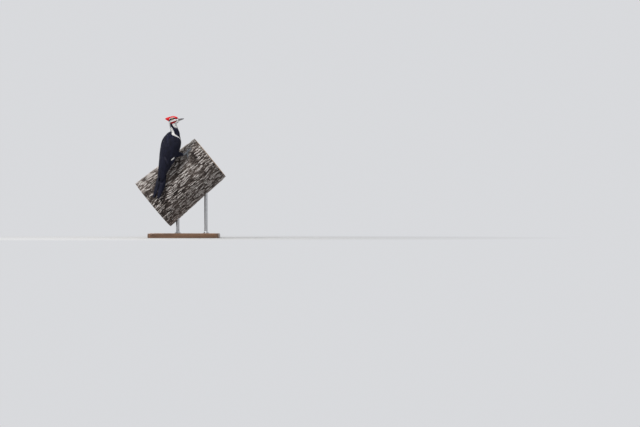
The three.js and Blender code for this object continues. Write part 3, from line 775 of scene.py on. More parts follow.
def markings(points):
    """Shares of white, scarlet, crimson and slate at points in the bird's frame."""
    head = bird_to_head(points)
    on_head = head_share(points)
    side = head[:, 1:]
    cheek, eye, malar, chin = (
        stripe(side, path) * on_head for path in (CHEEK_STRIPE, EYE_STRIPE, MALAR_STRIPE, CHIN_STRIPE)
    )
    brow = stripe(side, BROW_LINE, 0.6) * on_head
    throat = smooth((THROAT_REACH - np.linalg.norm(head - THROAT_AT, axis=1)) / 2 + 0.5)
    throat *= fade(-head[:, 2], 10.5, 12.5) * fade(head[:, 1], -6, -1)
    shadow = stripe(side, MALAR_SHADOW, 1.2) * (head[:, 2] > -40) * (head[:, 0] > 0)
    neck = neck_stripes(points) * (1 - shadow) * (1 - eye * on_head)
    crown = fade(head[:, 2] - np.interp(head[:, 1], *CROWN_EDGE.T), -0.4, 0.5) * on_head
    slate = eye * (1 - cheek)
    white = np.maximum.reduce([neck, cheek, brow, throat, chin]) * (1 - malar) * (1 - slate * (1 - brow))
    return np.column_stack([white, crown, malar * (1 - crown), slate])


# ------------------------------------------------------------------ the skin's flat map, for the bake

# Corner and size of the body's and the head's areas on the map, the body's by angle and by its own length.
BODY_AREA, HEAD_AREA = ((0.02, 0.02), (0.54, 0.96)), ((0.6, 0.34), (0.38, 0.62))
BODY_SPAN, HEAD_SPAN = (-160, 150), (-62, 34)
# A small feather's patch on the map, across.
TUFT_PATCH = 0.003


def unwrap(points):
    """Where a point in the bird's frame lies on the skin's own flat map."""

    def spread_out(area, sideways, upwards, along, span):
        (left, bottom), (wide, high) = area
        around = np.arctan2(sideways, upwards) / TAU + 0.5
        length = (along - span[0]) / (span[1] - span[0])
        return np.column_stack([left + wide * around, bottom + high * length])

    middle, _ = neck_at(np.clip(points[:, 2], NECK_LOW, NECK_HIGH))
    centre = middle * fade(points[:, 2], NECK_LOW, TRUNK_TOP)[:, None]
    off = points[:, :2] - centre
    head = bird_to_head(points)
    body = spread_out(BODY_AREA, off[:, 0], -off[:, 1], points[:, 2], BODY_SPAN)
    skull = spread_out(HEAD_AREA, head[:, 0], head[:, 2] + 2, head[:, 1], HEAD_SPAN)
    return np.clip(np.where((head_share(points) > 0.5)[:, None], skull, body), 0.002, 0.998)


# ------------------------------------------------------------------ the skin


def steps(rows):
    """Shares along a loft, from just inside its one end to just inside the other."""
    return np.linspace(0.002, 0.998, rows)[:, None]


def body_loft(lift, rows=70, around=72):
    t = steps(rows)
    share = rounding(t, 0.09, 0.16)
    degrees = np.linspace(0, 360, around, endpoint=False)[None]
    return on_body(lerp(TRUNK_TOP, TRUNK_END, t), degrees, share, lift * share)


def neck_loft(lift, rows=40, around=48):
    t = steps(rows)
    place = lerp(NECK_HIGH, NECK_LOW, t)
    radius = neck_at(place)[1] + lift
    return on_neck(place, turns(around)[None], radius * rounding(t, 0.1, 0.12))


def skull_loft(stations, lift, start, end, box, last, rows=44, around=48):
    t = steps(rows)
    place = lerp(stations[:, 0].max() + lift, last - lift, t)
    return head_to_bird(on_skull(stations, place, turns(around)[None], rounding(t, start, end), lift, box))


def thigh_line(hip, heel, rows=24):
    """From hip to heel through a raised middle."""
    hip, heel = np.array(hip, float), np.array(heel, float)
    middle = (hip + heel) / 2 + [0, 0, 4]
    t = np.linspace(0, 1, rows)[:, None]
    return hip * (2 * t * t - 3 * t + 1) + middle * (4 * t - 4 * t * t) + heel * (2 * t * t - t), t[:, 0]


def thigh_radius(t):
    return lerp(THIGH_HIP, THIGH_HEEL, t**0.85)


def thigh_loft(hip, heel, lift):
    line, t = thigh_line(hip, heel)
    radius = (thigh_radius(t) + lift) * rounding(np.clip(t, 0.004, 0.996), 0.2, 0.16)
    ahead = unit(np.gradient(line, axis=0))
    across = unit(np.cross(ahead, np.array([0.3, 0.2, 1.0])))
    over = np.cross(across, ahead)
    angle = turns(24)[None, :, None]
    out = np.cos(angle) * across[:, None] + np.sin(angle) * over[:, None]
    return line[:, None] + radius[:, None, None] * out


def eye_frame(side):
    """An eye's middle in the head's frame, the way it looks, and its right and up."""
    gaze = unit(np.array([side * 1.0, 0.2, 0.1]))
    right = unit(np.cross(gaze, [0, 0, 1.0]))
    return EYE * [side, 1, 1], gaze, right, np.cross(right, gaze)


def lid_rings(side):
    """A rolled rim of bare skin round each eye, sunk into the feathers."""
    eye, gaze, right, up = eye_frame(side)
    around, tube = 64, 12
    a, b = turns(around)[:, None], turns(tube)[None]
    # The opening is a little longer than high, and its upper lid a little heavier.
    open_long, open_high, open_radius = 3.75, 3.2, 3.6
    thick = 0.72 + 0.3 * np.clip(np.sin(a), 0, 1) + 0.05 * np.sin(a * 9)
    height = math.sqrt(EYE_RADIUS**2 - open_radius**2) + 0.12
    long = (open_long + thick * np.cos(b)) * np.cos(a)
    high = (open_high + thick * np.cos(b)) * np.sin(a)
    out = height + thick * 0.8 * np.sin(b) - 0.35
    ring = eye + long[..., None] * right + high[..., None] * up + out[..., None] * gaze
    i, j = np.meshgrid(np.arange(around), np.arange(tube), indexing="ij")
    corners = [((i + di) % around) * tube + (j + dj) % tube for di, dj in ((0, 0), (1, 0), (1, 1), (0, 1))]
    quads = np.stack(corners, -1).reshape(-1, 4)
    return head_to_bird(ring.reshape(-1, 3)), [quads if side < 0 else quads[:, ::-1]]


def foot_centre(name):
    """Where a leg's toes meet, in the bird's frame: the middle of its first joint pieces."""
    roots = [cad_points(f"toe_{name}_{k}") for k in "1234"]
    middle = np.mean([r.mean(0) for r in roots], axis=0)
    nearest = [r[np.argmin(np.linalg.norm(r - middle, axis=1))] for r in roots]
    return world_to_bird(np.mean(nearest, axis=0))


def foot_skin():
    """Tarsi and toes: the CAD's bodies swelled together and rounded, with scutes across their fronts."""
    bodies = []
    for name in cad_names("tarsus_", "toe_"):
        mesh = welded(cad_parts[name].data)
        points, triangles = mesh_arrays(mesh)
        bodies.append((points + read(mesh.vertex_normals, "vector", 3) * 0.5 * MM, [triangles]))
    points, quads = remeshed(*joined(bodies), FOOT_VOXEL, 6)
    bird = world_to_bird(points)
    scute, away = np.ones(len(points)), np.full(len(points), 1e9)
    for name, (_, heel) in LEGS.items():
        low, high = (np.array(c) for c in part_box("tarsus_" + name))
        near = ((points > low - 0.04) & (points < high + 0.04)).all(1)
        foot = foot_centre(name)
        axis = unit(foot - np.array(heel, float))
        down = (bird - foot) @ axis
        off = np.linalg.norm(bird - foot, axis=1)
        on_shaft = np.linalg.norm(bird - foot - down[:, None] * axis, axis=1) < 4.4
        measure = np.where((down < -2) & on_shaft, -down / 1.75, off / 1.35)
        nearest = near & (off < away)
        scute[nearest] = np.abs(np.sin(np.pi * measure[nearest]))
        away = np.where(nearest, off, away)
    return points, [quads], scute


def body_skin():
    lofts = [
        body_loft(-COAT_BODY),
        neck_loft(-COAT_NECK),
        skull_loft(HEAD, -COAT_HEAD, 0.1, 0.3, HEAD_BOX, HEAD[0, 0]),
        skull_loft(CREST, -COAT_CREST, 0.2, 0.35, CREST_BOX, -33),
        *(thigh_loft(hip, heel, -COAT_THIGH) for hip, heel in LEGS.values()),
    ]
    points, faces = joined([closed_loft(rings) for rings in lofts])
    points, quads = remeshed(bird_to_world(points), faces, SKIN_VOXEL, 5)
    return points, [quads]


def make_skin(material):
    """One skin for head, neck, trunk, wings' flesh and legs; returns the body's part for the feathers."""
    body, (*feet, feet_scutes) = body_skin(), foot_skin()
    lids = [(bird_to_world(points), faces) for points, faces in map(lid_rings, (-1, 1))]
    parts = [body, feet, *lids]
    points, faces = joined(parts)
    # Which part each point belongs to: body 0, feet 1, lids after.
    part = np.repeat(np.arange(len(parts)), [len(p) for p, _ in parts])
    scutes = np.ones(len(points))
    scutes[part == 1] = feet_scutes
    skin = add_mesh("skin", points, faces, material, "foot_skin")
    set_marks(skin.data, markings(world_to_bird(points)))
    for name, values in (("foot", part == 1), ("lid", part > 1), ("scute", scutes)):
        set_attribute(skin.data, name, values)
    groove = (1 - fade(scutes, 0.0, 0.4)) * (part == 1)
    moved = points - read(skin.data.vertex_normals, "vector", 3) * (groove * 0.16 * MM)[:, None]
    skin.data.vertices.foreach_set("co", moved.astype(np.float32).ravel())
    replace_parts(skin, "head", "neck", "trunk", "thigh_left", "thigh_right", "tarsus_left", "tarsus_right")
    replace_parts(skin, *cad_names("toe_"))
    return world_to_bird(body[0]), body[1][0]


# ------------------------------------------------------------------ feathers

# Cross-sections of a vane: places across from -1 to 1, and heights as shares of ridge and thickness.
NARROW = np.array([[-1, 0], [0, 1], [1, 0], [0, -1]], float)
BROAD = np.array([
    [-1, -0.25], [-0.5, 0.25], [-0.09, 0.36], [0, 1], [0.09, 0.36], [0.5, 0.25], [1, -0.25],
    [0.5, -1], [-0.5, -1],
], float)
# Where a small feather's rings lie along it, and their widths.
SMALL_ROWS, SMALL_WIDTHS = np.array([0.3, 0.62, 0.87]), [0.85, 1.0, 0.64]
FACE_ROWS, FACE_WIDTHS = np.array([0.34, 0.76]), [1.0, 0.78]
# Where a long feather's rings lie along it.
FLIGHT_ROWS = np.concatenate([
    [0.01], np.arange(0.04, 0.4, 0.03), [0.4, 0.5, 0.6, 0.7, 0.78, 0.85, 0.9, 0.94, 0.97, 0.99],
])
TAIL_ROWS = np.concatenate([FLIGHT_ROWS[:-4], [0.93, 0.955, 0.975, 0.99]])
COVERT_ROWS = np.array([0.04, 0.2, 0.4, 0.6, 0.76, 0.88, 0.96])
STRAND_ROWS = np.array([0.12, 0.4, 0.68, 0.88])


class Surface:
    """The skin to lay feathers on, in the bird's frame."""

    def __init__(self, points, quads):
        self.points = points
        self.tris = halves(quads)
        self.tree = BVHTree.FromPolygons(points.tolist(), self.tris.tolist())
        corner = points[self.tris]
        face = np.cross(corner[:, 1] - corner[:, 0], corner[:, 2] - corner[:, 0])
        self.area = np.linalg.norm(face, axis=1) / 2
        normal = np.zeros_like(points)
        for k in range(3):
            np.add.at(normal, self.tris[:, k], face)
        self.normal = unit(normal)

    def nearest(self, places):
        """The nearest places on the skin and the smooth normals there."""
        hits = [self.tree.find_nearest(p) for p in places.tolist()]
        at = np.array([h[0] for h in hits])
        return at, unit(self.normal[self.tris[[h[2] for h in hits]]].mean(1))

    def scatter(self, spacing, wanted, seed):
        """Places spread evenly over the part of the skin where wanted says so."""
        draw = np.random.default_rng(seed)
        chance = self.area * wanted(self.points[self.tris].mean(1))
        count = int(chance.sum() / spacing**2 * 6)
        pick = draw.choice(len(chance), count, p=chance / chance.sum())
        share = draw.random((count, 2))
        share[share.sum(1) > 1] = 1 - share[share.sum(1) > 1]
        corner = self.points[self.tris[pick]]
        edges = corner[:, 1:] - corner[:, :1]
        places = corner[:, 0] + share[:, :1] * edges[:, 0] + share[:, 1:] * edges[:, 1]
        return places[thinned(places, spacing * 0.82)]


def thinned(places, gap):
    """Which places to keep so that no two are nearer than gap."""
    cells, kept = {}, []
    around = [(x, y, z) for x in (-1, 0, 1) for y in (-1, 0, 1) for z in (-1, 0, 1)]
    rows = places.tolist()
    for i, (x, y, z) in enumerate(np.floor(places / gap).astype(int).tolist()):
        p = rows[i]
        near = (q for dx, dy, dz in around for q in cells.get((x + dx, y + dy, z + dz), ()))
        if all((p[0] - q[0]) ** 2 + (p[1] - q[1]) ** 2 + (p[2] - q[2]) ** 2 > gap * gap for q in near):
            cells.setdefault((x, y, z), []).append(p)
            kept.append(i)
    return np.array(kept)


def vanes(rings, root, tip, rows, section, own):
    """Many closed vanes from their rings (count, rows, around, 3), root points and tip points."""
    count, _, around = rings.shape[:3]
    points = np.concatenate([rings.reshape(count, -1, 3), root[:, None], tip[:, None]], 1)
    along = np.concatenate([np.repeat(rows, around), [0, 1]])
    across = np.concatenate([np.tile(section[:, 0] / 2 + 0.5, len(rows)), [0.5, 0.5]])
    quads, fans = tube_faces(len(rows), around), end_fans(len(rows), around)
    tris = np.concatenate([halves(quads), fans])
    p = points - points.mean(1, keepdims=True)
    a, b, c = (p[:, tris[:, k]] for k in range(3))
    inside_out = np.einsum("nij,nij->n", a, np.cross(b, c)) < 0
    return {"points": points, "along": along, "across": across, "own": own, "faces": (quads, fans),
            "inside_out": inside_out, "root": root}


def small_vanes(surface, roots, flow, length, half, rise, seed, ridge, thick=0.07, lean=0.12, sink=0.35,
                rows=SMALL_ROWS, widths=SMALL_WIDTHS):
    """Contour feathers: each leaves its root, follows the skin along the flow, and rises to its tip."""
    draw = np.random.default_rng(seed)
    count = len(roots)
    length = length * draw.uniform(0.86, 1.14, count)
    half = half * draw.uniform(0.88, 1.12, count)
    rise = rise * draw.uniform(0.8, 1.15, count)
    at, normal = surface.nearest(roots)
    ahead = flow(at) + draw.normal(0, lean, (count, 3))
    start, place, before = at - normal * sink, at, 0.0
    height = np.where(NARROW[:, 1] > 0, ridge, thick) * NARROW[:, 1]
    rings = []
    for share, wide in zip([*rows, 1.0], [*widths, 0.0]):
        ahead = unit(ahead - (ahead * normal).sum(1, keepdims=True) * normal)
        place, normal = surface.nearest(place + ahead * ((share - before) * length)[:, None])
        centre = place + normal * (rise * share)[:, None]
        side = unit(np.cross(ahead, normal)) * (half * wide)[:, None]
        across, out = side[:, None] * NARROW[None, :, :1], normal[:, None] * height[None, :, None]
        rings.append(centre[:, None] + across + out)
        before = share
    return vanes(np.stack(rings[:-1], 1), start, centre, rows, NARROW, draw.random(count))


def form_vanes(form, per_unit, start, end, half, lift, rows, width, seed, section=BROAD, ridge=0.4,
               thick=0.25, bow=0.0, cup=0.0):
    """Long feathers laid on a form.

    start and end are places along and round it, per_unit the millimetres in one of its units round.
    """
    draw = np.random.default_rng(seed)
    t = rows[None, :, None]
    (u0, v0), (u1, v1), (low, high) = (a.T[:, :, None, None] for a in (start, end, lift))
    half, bow = (np.asarray(a, float).reshape(-1, 1, 1) for a in (half, bow))
    u, v = lerp(u0, u1, t), lerp(v0, v1, t) + bow * np.sin(np.pi * t)
    unit_mm = per_unit(u)
    run, swing = u1 - u0, (v1 - v0) * unit_mm
    total = np.hypot(run, swing)
    across = section[None, None, :, 0]
    offset = across * (half * width(t))
    height = (np.where(section[:, 1] > 0, ridge, thick) * section[:, 1])[None, None]
    level = lerp(low, high, t) + (height * np.minimum(1, width(t) * 1.5) - cup * across**2)
    rings = form(u - offset * swing / total, v + offset * run / total / unit_mm, level)
    root = form(start[:, 0], start[:, 1], lift[:, 0] - 0.2)
    tip = form(end[:, 0], end[:, 1], lift[:, 1])
    return vanes(rings, root, tip, rows, section, draw.random(len(start)))


def outline(blunt, waist):
    """Half width along a long vane as a share: narrow at the root, full, then rounded to the tip."""
    return lambda t: lerp(waist, 1.0, smooth(t / 0.3)) * rounding(np.clip(t, 0.001, 0.999), 0.03, blunt)


def feather_piece(name, groups, material, slot="plumage", cells=False):
    """One piece from groups of vanes, with their markings, vane coordinates and bake map.

    Small feathers share the skin's flat map, each as a patch at its root; long ones fill a grid's cells.
    """
    side = math.ceil(math.sqrt(sum(len(g["own"]) for g in groups)))
    points, quads, tris, marks, coordinates, maps = ([] for _ in range(6))
    base = seen = 0
    for g in groups:
        count, size = g["points"].shape[:2]
        starts = base + np.arange(count)[:, None, None] * size
        for store, faces in zip((quads, tris), g["faces"]):
            turned = np.where(g["inside_out"][:, None, None], faces[None, :, ::-1], faces[None])
            store.append((turned + starts).reshape(-1, faces.shape[1]))
        # A feather without marks of its own wears those of the place that it covers.
        mark = g.get("marks")
        marks.append(np.repeat(markings(g["points"][:, :-2].mean(1)), size, 0) if mark is None else mark)
        along, across = np.tile(g["along"], count), np.tile(g["across"], count)
        coordinates.append(np.stack([along, across, np.repeat(g["own"], size)], -1))
        if cells:
            number, patch = seen + np.arange(count), 0.84 / side
            corner = np.stack([number % side, number // side], -1) / side + 0.08 / side
        else:
            patch = TUFT_PATCH
            corner = unwrap(g["root"]) - patch / 2
        maps.append(np.repeat(corner, size, 0) + np.stack([across, along], -1) * patch)
        points.append(g["points"].reshape(-1, 3))
        base += count * size
        seen += count
    faces = [np.concatenate(quads), np.concatenate(tris)]
    piece = add_mesh(name, bird_to_world(np.concatenate(points)), faces, material, slot)
    set_marks(piece.data, np.concatenate(marks))
    set_attribute(piece.data, "vane", np.concatenate(coordinates))
    set_bake_map(piece.data, np.clip(np.concatenate(maps), 0.001, 0.999))
    return piece


# ------------------------------------------------------------------ where each kind of feather grows


def lie(points):
    """The way feathers lie, in the bird's frame: back from the bill, down the neck, down the body."""
    head = bird_to_head(points)
    from_bill = unit(head - [0, 34, -1])
    backward = np.array([0, -1, -0.3])
    over_head = lerp(from_bill, backward, fade(-head[:, 1], -12, 16)[:, None]) @ HEAD_TO_BIRD.T
    place = np.clip(points[:, 2], NECK_LOW, NECK_HIGH)
    (middle, _), (above, _) = neck_at(place), neck_at(place + 1)
    run = np.column_stack([middle - above, -np.ones(len(points))])
    out = unit(points[:, :2] - middle)
    spiral = np.column_stack([-out[:, 1], out[:, 0], np.zeros(len(points))])
    body_or_neck = lerp(np.array([0, 0, -1.0]), run + 0.3 * spiral, fade(points[:, 2], 66, 88)[:, None])
    return unit(lerp(body_or_neck, over_head, smooth(head_share(points))[:, None]))


def thigh_place(points, hip, heel):
    """How far out along a thigh a point is, and its distance over the thigh's form."""
    line, t = thigh_line(hip, heel)
    gaps = np.linalg.norm(points[:, None] - line[None], axis=2)
    nearest = gaps.argmin(1)
    return t[nearest], gaps.min(1) - thigh_radius(t)[nearest]


def on_thigh(points):
    """Where a thigh stands clear of the trunk."""
    near = [thigh_place(points, *leg)[1] < 1.0 for leg in LEGS.values()]
    wide, back, breast, shift = through(BODY, points[:, 2])
    depth = np.where(points[:, 1] > shift, breast, back)
    outside = np.hypot(points[:, 0] / wide, (points[:, 1] - shift) / depth) - 1
    return np.any(near, axis=0) & (outside > 0.005)


def down_thigh(points):
    """The way feathers lie on the nearer thigh."""
    overs = [thigh_place(points, *leg)[1] for leg in LEGS.values()]
    first, second = (unit(np.array(heel, float) - hip) for hip, heel in LEGS.values())
    return np.where((overs[0] < overs[1])[:, None], first, second) + [0, 0, -0.25]


WING_TOP, WING_END = 68.0, -108.0


def wing_share(place):
    """How far down the folded wing a place along the spine is."""
    return (WING_TOP - place) / (WING_TOP - WING_END)


def wing_edges(t):
    """The folded wing's edges, in degrees from mid-back, by the share of its length from the bend."""
    inner = lerp(20, 2, np.minimum(t / 0.3, 1))
    outer = lerp(104, 58, np.clip((t - 0.35) / 0.65, 0, 1))
    half = (outer - inner) / 2 * rounding(np.clip(t, 0.012, 0.985), 0.16, 0.1)
    return (inner + outer) / 2 - half, (inner + outer) / 2 + half


def under_wing(points):
    """Where a folded wing hides the body well inside its edges."""
    degrees = np.abs(np.degrees(np.arctan2(points[:, 0], -points[:, 1])))
    t = wing_share(points[:, 2])
    inner, outer = wing_edges(np.clip(t, 0, 1))
    return (t > 0.05) & (t < 1) & (degrees > inner + 16) & (degrees < outer - 11)


def eye_gap(head):
    """Distance from points in the head's frame to the nearer eye's middle."""
    return np.linalg.norm(np.column_stack([np.abs(head[:, 0]), head[:, 1:]]) - EYE, axis=1)


def in_crest(head):
    """Where, in the head's frame, the crest's own feathers cover the head."""
    top, chin, wide = through(CREST, head[:, 1])
    q = np.hypot(head[:, 0] / wide, (head[:, 2] - (top + chin) / 2) / ((top - chin) / 2))
    return (q < 0.86) & (head[:, 1] < 20) & (head[:, 1] > -52)


def on_face(points):
    head = bird_to_head(points)
    return (head_share(points) > 0.5) & (head[:, 1] < 26.5) & (eye_gap(head) > 6.3) & ~in_crest(head)


def on_throat_or_nape(points):
    return (head_share(points) <= 0.5) & (points[:, 2] > 76) & ~on_thigh(points)


def on_trunk(points):
    return (head_share(points) <= 0.5) & (points[:, 2] <= 78) & ~on_thigh(points) & ~under_wing(points)


def face_size(roots):
    """Short fine feathers at the bill, longer behind; flat round the eye, but raised to a brow over it."""
    head = bird_to_head(roots)
    gap = eye_gap(head)
    length = lerp(3.0, 6.4, fade(-head[:, 1], -22, 26))
    short_of_eye = np.minimum(length, np.maximum((gap - 4.6) * 0.9, 1.3))
    length = np.where(head[:, 1] > EYE[1], short_of_eye, length)
    rise = COAT_HEAD * np.where(gap < 9, 0.6, 1.0) * np.where((gap < 8) & (head[:, 2] > EYE[2] + 2), 1.9, 1.0)
    return length, lerp(0.4, 0.6, fade(-head[:, 1], -22, 10)), rise


def neck_size(roots):
    return lerp(6.5, 10.0, fade(-roots[:, 2], -135, -80)), 0.86, COAT_NECK


def trunk_size(roots):
    return lerp(10.0, 15.0, fade(-roots[:, 2], -60, 60)), 1.6, COAT_BODY


def thigh_size(roots):
    """Shorter towards the heel."""
    places = [thigh_place(roots, *leg) for leg in LEGS.values()]
    out = np.min([t + 9 * (over > 2) for t, over in places], axis=0)
    return lerp(9.0, 4.5, np.clip(out, 0, 1)), 0.95, COAT_THIGH


def coat(surface, feathers):
    """The contour feathers: head, neck, trunk and thighs."""

    def grow(name, where, spacing, size, seed, flow=lie, **shape):
        roots = surface.scatter(spacing, where, seed)
        feather_piece(name, [small_vanes(surface, roots, flow, *size(roots), seed + 1, **shape)], feathers)

    grow("coat_head", on_face, 0.74, face_size, 11, ridge=0.045, thick=0.035, lean=0.1, sink=0.2,
         rows=FACE_ROWS, widths=FACE_WIDTHS)
    grow("coat_neck", on_throat_or_nape, 1.06, neck_size, 13, ridge=0.06, thick=0.045)
    grow("coat_trunk", on_trunk, 1.85, trunk_size, 15, ridge=0.1)
    grow("coat_thighs", on_thigh, 1.25, thigh_size, 17, down_thigh, ridge=0.07, thick=0.05, lean=0.16)


# ------------------------------------------------------------------ wings, tail and crest


def body_mm_per_degree(place):
    wide, back, _, _ = through(BODY, np.clip(place, BODY[0, 0], BODY[-1, 0]))
    return (wide + back) / 2 * math.pi / 180


def body_vanes(side, *numbers, **shape):
    """Long feathers laid on one side of the body."""

    def form(place, degrees, lift):
        return on_body(np.minimum(place, TRUNK_TOP), side * degrees, 1.0, lift)

    return form_vanes(form, body_mm_per_degree, *numbers, **shape)


def wing_flights(side):
    """Tertials and secondaries over the primaries."""
    i = np.linspace(0, 1, 9)
    start = np.column_stack([lerp(6, -36, i), lerp(14, 76, i)])
    end = np.column_stack([lerp(-98, -122, i**0.55), lerp(1, 48, i)])
    lift = np.column_stack([lerp(0.5, -0.4, i), lerp(1.5 + 0.25 * side, 0.7, i)])
    upper = body_vanes(side, start, end, lerp(8.8, 6.8, i), lift, FLIGHT_ROWS, outline(0.22, 0.55), 21,
                       ridge=0.4, thick=0.25, bow=lerp(1, 2, i), cup=0.3)
    primary_tips = np.array([-134, -146, -154, -156, -152, -145, -135, -124, -110])
    start = np.column_stack([lerp(-34, -42, i), lerp(52, 90, i)])
    end = np.column_stack([primary_tips, lerp(9, 82, i**1.1)])
    lift = np.column_stack([lerp(-0.2, -0.6, i), lerp(1.4, 0.4, i)])
    lower = body_vanes(side, start, end, lerp(6.6, 5.2, i), lift, FLIGHT_ROWS, outline(0.2, 0.55), 22,
                       ridge=0.5, thick=0.3, bow=lerp(3, 1, i), cup=0.2)
    return [upper, lower]


def covert_row(side, places, degrees, length, half, lift, seed, swing=-3.0):
    """A row of coverts between two places down the body and between two angles round it."""
    middle, jitter = (places[0] + places[1]) / 2, 0.35
    count = max(3, round(abs(degrees[1] - degrees[0]) * float(body_mm_per_degree(middle)) / (half * 1.25)))
    draw = np.random.default_rng(seed)
    s = (np.arange(count) + 0.5) / count + draw.normal(0, 0.06 * jitter / count, count)
    start = np.column_stack([lerp(*places, s), lerp(*degrees, s)])
    start += draw.normal(0, jitter, start.shape) * [2.2, 1.0]
    reach = length * draw.uniform(0.86, 1.12, count)
    end = start + np.column_stack([-reach, swing + draw.normal(0, 0.9, count)])
    lifts = np.column_stack([np.full(count, lift[0]), lift[1] + draw.normal(0, 0.12, count)])
    return body_vanes(side, start, end, half, lifts, COVERT_ROWS, outline(0.5, 0.6), seed,
                      ridge=0.2, thick=0.13, cup=0.2)


# Median and greater coverts, and the primary coverts on the lower edge:
# places and degrees from end to end, length, half width, lift at root and tip, seed, swing of the tip.
COVERTS = [
    ((28, 14), (20, 98), 19, 3.4, (-0.8, 1.4), 41, -3),
    ((22, 5), (20, 98), 22, 3.8, (-0.7, 1.4), 42, -3),
    ((14, -6), (20, 94), 26, 4.4, (-0.5, 1.4), 43, -3),
    ((4, -16), (22, 84), 31, 5.0, (-0.3, 1.4), 44, -3),
    ((10, -2), (88, 99), 36, 4.2, (-0.5, 1.1), 45, -8),
]


def wing_coverts(side):
    """Lesser coverts from the bend down, the larger coverts, and scapulars over the wing's inner edge."""
    rows = []
    lesser = np.arange(66, 28, -2.7)
    for k, place in enumerate(lesser):
        t = k / (len(lesser) - 1)
        inner, outer = wing_edges(wing_share(place) + 0.02)
        rows.append(covert_row(side, (place, place - 5), (inner + 2, outer - 1), lerp(10, 15, t),
                               lerp(1.7, 2.6, t), (-1.0, lerp(0.8, 1.2, t)), 131 + k))
    rows += [covert_row(side, *row) for row in COVERTS]
    scapulars = np.arange(62, -14, -4.6)
    for k, place in enumerate(scapulars):
        t = k / (len(scapulars) - 1)
        inner, _ = wing_edges(np.clip(wing_share(place), 0, 1))
        rows.append(covert_row(side, (place + 3, place - 3), (inner - 8, inner + 16), lerp(14, 30, t),
                               lerp(2.6, 4.8, t), (-1.0, lerp(1.5, 2.0, t)), 51 + k, swing=2))
    return rows


def make_wings(feathers):
    for side, name in ((-1, "left"), (1, "right")):
        ends = [on_body(place, side * degrees, 1.0, 1.0) for place, degrees in WING_PATCH_ENDS]
        patch = np.array([[*end, WING_PATCH_HALF] for end in ends])
        flights, coverts = wing_flights(side), wing_coverts(side)
        for group in flights + coverts:
            points = group["points"].reshape(-1, 3)
            group["marks"] = np.zeros((len(points), 4))
            group["marks"][:, 0] = stripe(points, patch, 0.8)
        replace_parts(feather_piece("wing_flights_" + name, flights, feathers, cells=True), "wing_" + name)
        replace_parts(feather_piece("wing_coverts_" + name, coverts, feathers), "wing_" + name)


TAIL_ROOT, TAIL_END, TAIL_ROLL, TAIL_STEP = -104.0, -240.0, 0.36, 0.9
# The tail's tip rests over the limb: place along the limb, angle round it, height over the bark.
TAIL_REST = (-131.6, math.radians(7), 7.5)
TAIL_TIP = world_to_bird(MM * on_limb(*TAIL_REST[:2], LIMB_RADIUS - LIMB_TAPER * TAIL_REST[0] + TAIL_REST[2]))
TAIL_LINE = np.array([[-104, -1, -5], [-150, 0, -6.5], [-195, 0.5, -4.5], [-240, 1, TAIL_TIP[1]]])
# Pairs from the middle outwards: tip, distance across there, half width.
RECTRICES = np.array([
    [-240, 11.5, 9.5], [-226, 15.5, 8.6], [-207, 18.5, 7.6], [-187, 20.5, 7], [-165, 20.5, 6],
])


def on_tail(place, across, lift):
    """A point on the tail by place, distance across and lift off its upper side."""
    x, y = through(TAIL_LINE, place)
    t = (place - TAIL_ROOT) / (TAIL_END - TAIL_ROOT)
    return xyz(x + across, y + 0.008 * across**2 + TAIL_ROLL * t * across - lift, place)


def make_tail(feathers):
    groups = []
    sides = np.array([-1, 1.0])
    for layer, (tip, across, wide) in enumerate(RECTRICES):
        start = np.column_stack([[TAIL_ROOT + 4] * 2, sides * (3 + 1.1 * layer)])
        end = np.column_stack([[tip] * 2, sides * across])
        lift = np.array([[0.2 - TAIL_STEP * layer, 0.1 - TAIL_STEP * layer]] * 2) + [[0.25], [0.0]]
        groups.append(form_vanes(on_tail, np.ones_like, start, end, wide, lift, TAIL_ROWS,
                                 outline(0.36, 0.4), 61 + layer, ridge=0.75, thick=0.55,
                                 bow=sides * across * 0.12, cup=0.5))
    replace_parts(feather_piece("tail_feathers", groups, feathers, cells=True), "tail")


def tail_coverts(feathers):
    """Rows of coverts over and under the tail's root."""
    rows = []
    for k, (place, reach, half) in enumerate([(-84, 26, 4.2), (-92, 29, 4.4), (-100, 32, 4.6)]):
        for middle, width, seed in ((0, 70, 71), (180, 120, 81)):
            count = round(width * float(body_mm_per_degree(place)) / (half * 1.2))
            draw = np.random.default_rng(seed + k)
            degrees = middle + np.linspace(-width / 2, width / 2, count) + draw.normal(0, 1.5, count)
            start = np.column_stack([place + draw.normal(0, 1.2, count), degrees])
            tip = place - reach * draw.uniform(0.9, 1.1, count)
            end = np.column_stack([tip, middle + (degrees - middle) * 0.72])
            lift = np.column_stack([np.full(count, -1.6), np.full(count, 1.0) + draw.normal(0, 0.2, count)])
            rows.append(body_vanes(1, start, end, half, lift, COVERT_ROWS, outline(0.36, 0.6), seed + k,
                                   ridge=0.3, thick=0.2, cup=0.3))
    feather_piece("tail_coverts", rows, feathers)


def on_crest(place, degrees, lift):
    return head_to_bird(on_skull(CREST, place, np.radians(degrees), 1.0, lift, CREST_BOX))


def crest_mm_per_degree(place):
    top, chin, wide = through(CREST, np.clip(place, CREST[0, 0], CREST[-1, 0]))
    return np.maximum((wide + (top - chin) / 2) / 2, 1.5) * math.pi / 180


